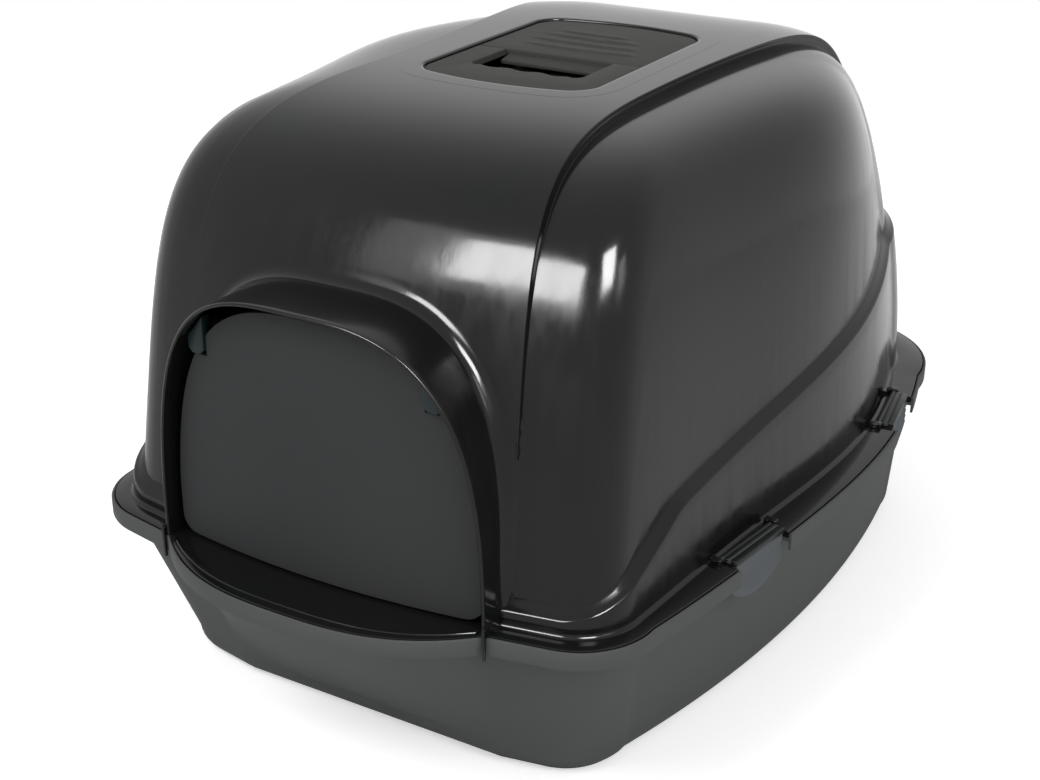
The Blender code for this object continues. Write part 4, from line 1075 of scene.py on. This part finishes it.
def make_handle():
    """The folding carry handle: a bar with two arms round a finger slot with a wavy edge."""
    rear = SPLIT_Y - PANEL_CLEARANCE
    outline = panel_outline(PANEL_CLEARANCE)
    right = [p for p in outline if p[0] > 0 and p[1] < rear - 0.001]
    right.sort(key=lambda p: math.atan2(p[1] - 0.034, p[0]))
    half = PANEL_HALF_WIDTH - PANEL_CLEARANCE
    slot = SLOT_HALF_WIDTH
    radius = 0.006
    centre = (slot - radius, SLOT_FRONT_Y + radius)
    corner = half_arc(centre, radius, 0.0, -math.pi / 2, 8)
    wave_x = np.linspace(slot - 0.007, -(slot - 0.007), 61)[1:-1]
    wave = SLOT_FRONT_Y + 0.0016 * np.sin((wave_x + slot) / (2 * slot) * math.pi * 7.0)
    right_part = np.array(right + [(half, rear), (slot, rear)])
    left_part = right_part[::-1] * [-1.0, 1.0]
    left_corner = corner[::-1] * [-1.0, 1.0]
    front = np.stack([wave_x, wave], 1)
    points = np.concatenate([right_part, corner, front, left_corner, left_part])
    keep = np.ones(len(points), bool)
    keep[1:] = np.hypot(*(np.diff(points, axis=0).T)) > 1e-5
    plate = plate_from_outline("handle_plate", points[keep])
    return join("handle", [plate] + panel_barrels(HANDLE_AXIS_Y))


def make_cover():
    """The filter cover: a plate with swooping ridges and a tongue behind the finger slot."""
    half = PANEL_HALF_WIDTH - PANEL_CLEARANCE
    rear = [p for p in panel_outline(PANEL_CLEARANCE) if p[1] > SPLIT_Y + 0.001]
    rear.sort(key=lambda p: math.atan2(p[1] - SPLIT_Y, p[0]))
    points = np.array([(half, SPLIT_Y)] + rear + [(-half, SPLIT_Y)])
    plate = plate_from_outline("cover_plate", points)
    lines = [(0.18, 0.06, 0.93), (0.40, 0.02, 0.88), (0.62, 0.05, 0.82), (0.80, 0.10, 0.70)]
    corners = (0.006 - half, SPLIT_Y + 0.006), (half - 0.006, 0.108)
    pieces = [plate, relief_plate("ridges", *corners, lines, 0.0014)]
    pieces += panel_barrels(COVER_AXIS_Y)
    reach = SLOT_HALF_WIDTH - 0.002
    low = (-reach, 0.0140, PANEL_TOP_Z - 0.0060)
    tongue = box("tongue", low, (reach, SPLIT_Y + 0.002, PANEL_TOP_Z - 0.0030))
    for vertex in tongue.data.vertices:
        vertex.co.z -= 0.0025 * smoothstep((SPLIT_Y - vertex.co.y) / 0.012)
    pieces.append(tidy(bevel(tongue, 0.0008, 2), 35.0))
    return join("cover", pieces)


# Clips --------


def make_clip(name, side, middle, turn):
    """The hanging plate with a rounded lower edge and swooping ridges, and the arm behind it."""
    half = CLIP_LENGTH / 2
    top = CLIP_BARREL_RADIUS - 0.0005
    outer = -CLIP_FACE_INSET
    inner = outer - CLIP_PLATE
    count = 121
    along = np.linspace(-1.0, 1.0, count) * (half - 0.0002)
    drop = CLIP_END_DROP + (CLIP_MIDDLE_DROP - CLIP_END_DROP) * (1.0 - (along / half) ** 2)
    drop -= 0.0005
    at = (along + half) / (2 * half)

    def row(x, z):
        return np.column_stack([np.full(count, x), along, np.broadcast_to(z, count)])

    rows = [row(-CLIP_AXIS_INSET, top), row(outer - 0.0012, top)]
    rows.append(row(outer - 0.0006, top - 0.0003))
    for share in np.linspace(0.0, 1.0, 101):
        height = np.zeros(count)
        for offset, start in CLIP_RIDGES:
            curve = offset + 1.9 * np.clip(0.62 - at, 0.0, None) ** 2
            gap = (share - curve) / 0.045
            shape = np.exp(-((gap / np.where(gap > 0, 0.25, 1.3)) ** 2))
            shape *= smoothstep((at - start) / 0.12) * smoothstep((0.97 - at) / 0.04)
            height = np.maximum(height, shape)
        height *= smoothstep(share / 0.08) * smoothstep((0.95 - share) / 0.05)
        depth = np.full(count, outer - 0.0015) + 0.0015 * height
        z = top - 0.0006 - (drop - 0.0012) * share
        rows.append(np.column_stack([depth, along, z]))
    z = top - drop
    rows += [row(outer - 0.0018, z), row(inner + 0.0004, z), row(inner, z + 0.0006)]
    rows.append(row(inner, top - CLIP_PLATE))
    rows.append(row(-CLIP_AXIS_INSET, top - CLIP_PLATE + 0.0006))
    body = capped(sheet(name, rows, close_rows=True, flip=True))
    return place(join(name, [body], 30.0), side, middle, turn)


def make_clip_strip(name, side, middle, turn):
    """The clip's dark top: the hinge barrel and two bars, with a slot between them."""
    half = CLIP_LENGTH / 2
    top = CLIP_BARREL_RADIUS
    start = (-CLIP_AXIS_INSET, -half, 0.0)
    pieces = [bar("barrel", start, (-CLIP_AXIS_INSET, half, 0.0), top)]
    for low, high, base_z in ((-0.0148, -0.0112, -0.0005), (-0.0102, -0.0051, -0.0016)):
        strip = box("strip", (low, 0.0002 - half, base_z), (high, half - 0.0002, top))
        pieces.append(tidy(bevel(strip, 0.0007), 35.0))
    return place(join(name, pieces), side, middle, turn)


# Materials --------


class Nodes:
    """A short way to write the node tree of a material or of the world."""

    def __init__(self, owner, shader="Principled BSDF"):
        owner.use_nodes = True
        self.owner = owner
        self.tree = owner.node_tree
        self.shader = self.tree.nodes[shader]

    def add(self, kind, settings=None, **inputs):
        node = self.tree.nodes.new(kind)
        for key, value in (settings or {}).items():
            setattr(node, key, value)
        for key, value in inputs.items():
            self.plug(node, key.replace("_", " "), value)
        return node

    def plug(self, node, name, value):
        socket = node.inputs[name]
        if isinstance(value, bpy.types.NodeSocket):
            self.tree.links.new(value, socket)
        else:
            socket.default_value = value

    def maths(self, operation, first, second=0.0):
        node = self.add("ShaderNodeMath", {"operation": operation})
        self.plug(node, 0, first)
        self.plug(node, 1, second)
        return node.outputs[0]

    def upright(self):
        """One on a wall, nought on a level surface."""
        normal = self.add("ShaderNodeNewGeometry").outputs["Normal"]
        parts = self.add("ShaderNodeSeparateXYZ", Vector=normal)
        return self.maths("SUBTRACT", 1.0, self.maths("ABSOLUTE", parts.outputs["Z"]))

    def background_rays(self):
        """One for camera, glossy and transmission rays, nought for the rest."""
        path = self.add("ShaderNodeLightPath").outputs
        seen = self.maths("MAXIMUM", path["Is Camera Ray"], path["Is Glossy Ray"])
        return self.maths("MAXIMUM", seen, path["Is Transmission Ray"])

    def noise(self, scale, detail=4.0, stretch=(1.0, 1.0, 1.0)):
        where = self.add("ShaderNodeTexCoord").outputs["Object"]
        where = self.add("ShaderNodeMapping", Vector=where, Scale=stretch).outputs["Vector"]
        return self.add("ShaderNodeTexNoise", Vector=where, Scale=scale, Detail=detail).outputs[0]

    def ramp(self, value, low, high, start=0.3, end=0.7):
        node = self.add("ShaderNodeMapRange", Value=value, From_Min=start, From_Max=end)
        self.plug(node, "To Min", low)
        self.plug(node, "To Max", high)
        return node.outputs["Result"]

    def colours(self, value, first, second):
        node = self.add("ShaderNodeMix", {"data_type": "RGBA"})
        self.plug(node, 0, self.ramp(value, 0.0, 1.0))
        self.plug(node, 6, (*first, 1.0))
        self.plug(node, 7, (*second, 1.0))
        return node.outputs[2]

    def bump(self, height, strength, distance, normal=None):
        node = self.add("ShaderNodeBump", Height=height, Strength=strength, Distance=distance)
        if normal is not None:
            self.plug(node, "Normal", normal)
        return node.outputs["Normal"]

    def set(self, **inputs):
        for key, value in inputs.items():
            self.plug(self.shader, key.replace("_", " "), value)
        return self.owner


def new_material(name):
    return Nodes(bpy.data.materials.new(name))


def gloss_black():
    """High-gloss black plastic with drag marks that run up and down."""
    n = new_material("hood_gloss")
    streaks = n.noise(90.0, 3.0, (1.0, 1.0, 0.05))
    clouds = n.noise(9.0, 3.0)
    walls = n.ramp(n.upright(), 0.0, 1.0, 0.25, 0.65)
    marks = n.ramp(n.maths("MULTIPLY", streaks, clouds), 0.0, 1.0, 0.18, 0.36)
    rough = n.ramp(n.maths("MULTIPLY", marks, walls), 0.12, 0.25, 0.0, 1.0)
    peel = n.bump(n.noise(30.0, 1.0), 0.02, 0.002)
    fine = n.noise(240.0, 2.0, (1.0, 1.0, 0.03))
    scratches = n.bump(fine, n.ramp(walls, 0.0, 0.075, 0.0, 1.0), 0.0006, peel)
    colour = n.colours(clouds, (0.0052, 0.0060, 0.0064), (0.0082, 0.0070, 0.0070))
    n.set(Base_Color=colour, Roughness=rough, Normal=scratches)
    return n.set(Specular_IOR_Level=HOOD_SPECULAR)


def matte_grey(name, dark, light):
    """Matt moulded plastic with a fine spark-eroded grain and faint flow marks."""
    n = new_material(name)
    flow = n.noise(5.0, 5.0, (1.0, 1.0, 0.5))
    fine = n.noise(1400.0, 2.0)
    colour = n.colours(flow, dark, light)
    normal = n.bump(fine, 0.06, 0.0003)
    wide = n.bump(n.noise(60.0, 3.0), 0.04, 0.001, normal)
    n.set(Base_Color=colour, Roughness=n.ramp(flow, 0.62, 0.74), Normal=wide)
    return n.set(Specular_IOR_Level=MATT_SPECULAR)


def satin_black(name, colour, rough):
    n = new_material(name)
    clouds = n.noise(40.0, 3.0)
    base_colour = n.colours(clouds, colour, tuple(c * 1.4 for c in colour))
    normal = n.bump(n.noise(700.0, 2.0), 0.06, 0.0003)
    n.set(Base_Color=base_colour, Roughness=n.ramp(clouds, *rough), Normal=normal)
    return n.set(Specular_IOR_Level=SATIN_SPECULAR)


def felt():
    n = new_material("carbon_felt")
    fibres = n.noise(900.0, 5.0, (1.0, 0.3, 1.0))
    colour = n.colours(fibres, (0.006, 0.006, 0.006), (0.030, 0.030, 0.030))
    return n.set(Base_Color=colour, Roughness=0.95, Normal=n.bump(fibres, 0.6, 0.001))


def paint(piece, material):
    piece.data.materials.clear()
    piece.data.materials.append(material)
    return piece


# Stage --------


def studio_world():
    """White to the camera and in reflections; a plain level on the matt surfaces."""
    world = bpy.data.worlds.new("studio")
    bpy.context.scene.world = world
    n = Nodes(world, "Background")
    strength = n.ramp(n.background_rays(), WORLD_LEVEL, 1.0, 0.0, 1.0)
    n.set(Strength=strength, Color=(1.0, 1.0, 1.0, 1.0))


def make_floor():
    """A pale floor, lifted to white for the camera and in reflections."""
    x = FLOOR_REACH
    corners = [(-x, -x, FLOOR_Z), (x, -x, FLOOR_Z), (x, x, FLOOR_Z), (-x, x, FLOOR_Z)]
    floor = new_object("floor", corners, [(0, 1, 2, 3)])
    n = new_material("floor_white")
    glossy = n.add("ShaderNodeLightPath").outputs["Is Glossy Ray"]
    lift = n.ramp(glossy, FLOOR_LIFT, FLOOR_GLOSS_LIFT, 0.0, 1.0)
    n.set(Base_Color=FLOOR_COLOUR, Roughness=0.9, Specular_IOR_Level=MATT_SPECULAR)
    n.set(Emission_Color=(1.0, 1.0, 1.0, 1.0))
    n.set(Emission_Strength=n.maths("MULTIPLY", n.background_rays(), lift))
    paint(floor, n.owner)


def heading(turn, rise):
    """A unit direction: the turn is from -Y towards +X, the rise is above the floor."""
    turn, rise = math.radians(turn), math.radians(rise)
    return (math.sin(turn) * math.cos(rise), -math.cos(turn) * math.cos(rise), math.sin(rise))


def make_lamps():
    """Soft lamps: the glossy ones make only highlights, the others light the matt parts."""
    middle = Vector((0.0, 0.0, 0.25))
    for name, turn, rise, size, radiance, glossy in LAMPS:
        light = bpy.data.lights.new(name, "AREA")
        light.shape = "RECTANGLE"
        light.size, light.size_y = size
        light.energy = radiance * math.pi * size[0] * size[1]
        lamp = link(name, light)
        lamp.location = middle + Vector(heading(turn, rise)) * LAMP_DISTANCE
        lamp.rotation_euler = (middle - lamp.location).to_track_quat("-Z", "Y").to_euler()
        lamp.visible_glossy = glossy
        lamp.visible_diffuse = not glossy
        lamp.visible_camera = False


def make_camera():
    camera_data = bpy.data.cameras.new("camera")
    camera = link("camera", camera_data)
    camera_data.lens = CAMERA_LENS
    camera_data.sensor_width = 36.0
    position = Vector(CAMERA_POSITION)
    look = (Vector(CAMERA_TARGET) - position).normalized()
    level = look.cross(Vector((0, 0, 1))).normalized()
    upward = level.cross(look)
    cosine, sine = math.cos(CAMERA_ROLL), math.sin(CAMERA_ROLL)
    right = level * cosine + upward * sine
    up = upward * cosine - level * sine
    rotation = Matrix((right, up, -look)).transposed()
    camera.matrix_world = Matrix.Translation(position) @ rotation.to_4x4()
    bpy.context.scene.camera = camera


# Assembly --------


def stand_in(piece, body, slot, *nodes):
    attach(piece, body)
    if nodes:
        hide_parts(*nodes)


def main():
    gloss = gloss_black()
    grey = matte_grey("tray_matte", (0.066, 0.069, 0.069), (0.076, 0.079, 0.078))
    flap_finish = matte_grey("flap_matte", (0.027, 0.028, 0.029), (0.033, 0.034, 0.035))
    panel_finish = matte_grey("panel_matte", (0.036, 0.037, 0.033), (0.043, 0.044, 0.040))
    bracket_finish = satin_black("bracket_satin", (0.006, 0.014, 0.015), (0.25, 0.4))
    pin_finish = satin_black("pin_satin", (0.015, 0.015, 0.016), (0.3, 0.45))
    strip_finish = satin_black("strip_satin", (0.008, 0.009, 0.009), (0.3, 0.42))
    clip_finish = matte_grey("clip_matte", (0.080, 0.088, 0.093), (0.090, 0.098, 0.104))

    for make, finish, body, slot, node in (
        (make_hood, gloss, "hood", "hood_black", "hood_shell"),
        (make_pan, grey, "tray", "tray_grey", "base_pan"),
        (make_flap, flap_finish, "flap", "flap_grey", "door_flap"),
        (make_handle, panel_finish, "handle", "panel_grey", "carry_handle"),
        (make_cover, panel_finish, "cover", "panel_grey", "filter_cover"),
    ):
        stand_in(paint(make(), finish), body, slot, node)
    for side, name in ((RIGHT, "right"), (LEFT, "left")):
        bracket = paint(make_bracket(side, f"bracket_{name}"), bracket_finish)
        stand_in(bracket, "hood", "bracket_black", f"flap_bracket_{name}")
    for name, *where in clip_frames():
        clip = paint(make_clip(f"clip_{name}", *where), clip_finish)
        stand_in(clip, f"clip_{name}", "tray_grey", f"side_clip_{name}")
        strip = paint(make_clip_strip(f"clip_strip_{name}", *where), strip_finish)
        stand_in(strip, f"clip_{name}", "hood_black")
    for name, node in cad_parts.items():
        if "pin" in name:
            paint(node, pin_finish)
        if name == "carbon_filter":
            paint(node, felt())
    make_camera()
    bpy.context.scene.view_settings.view_transform = "Standard"
    studio_world()
    make_floor()
    make_lamps()


main()
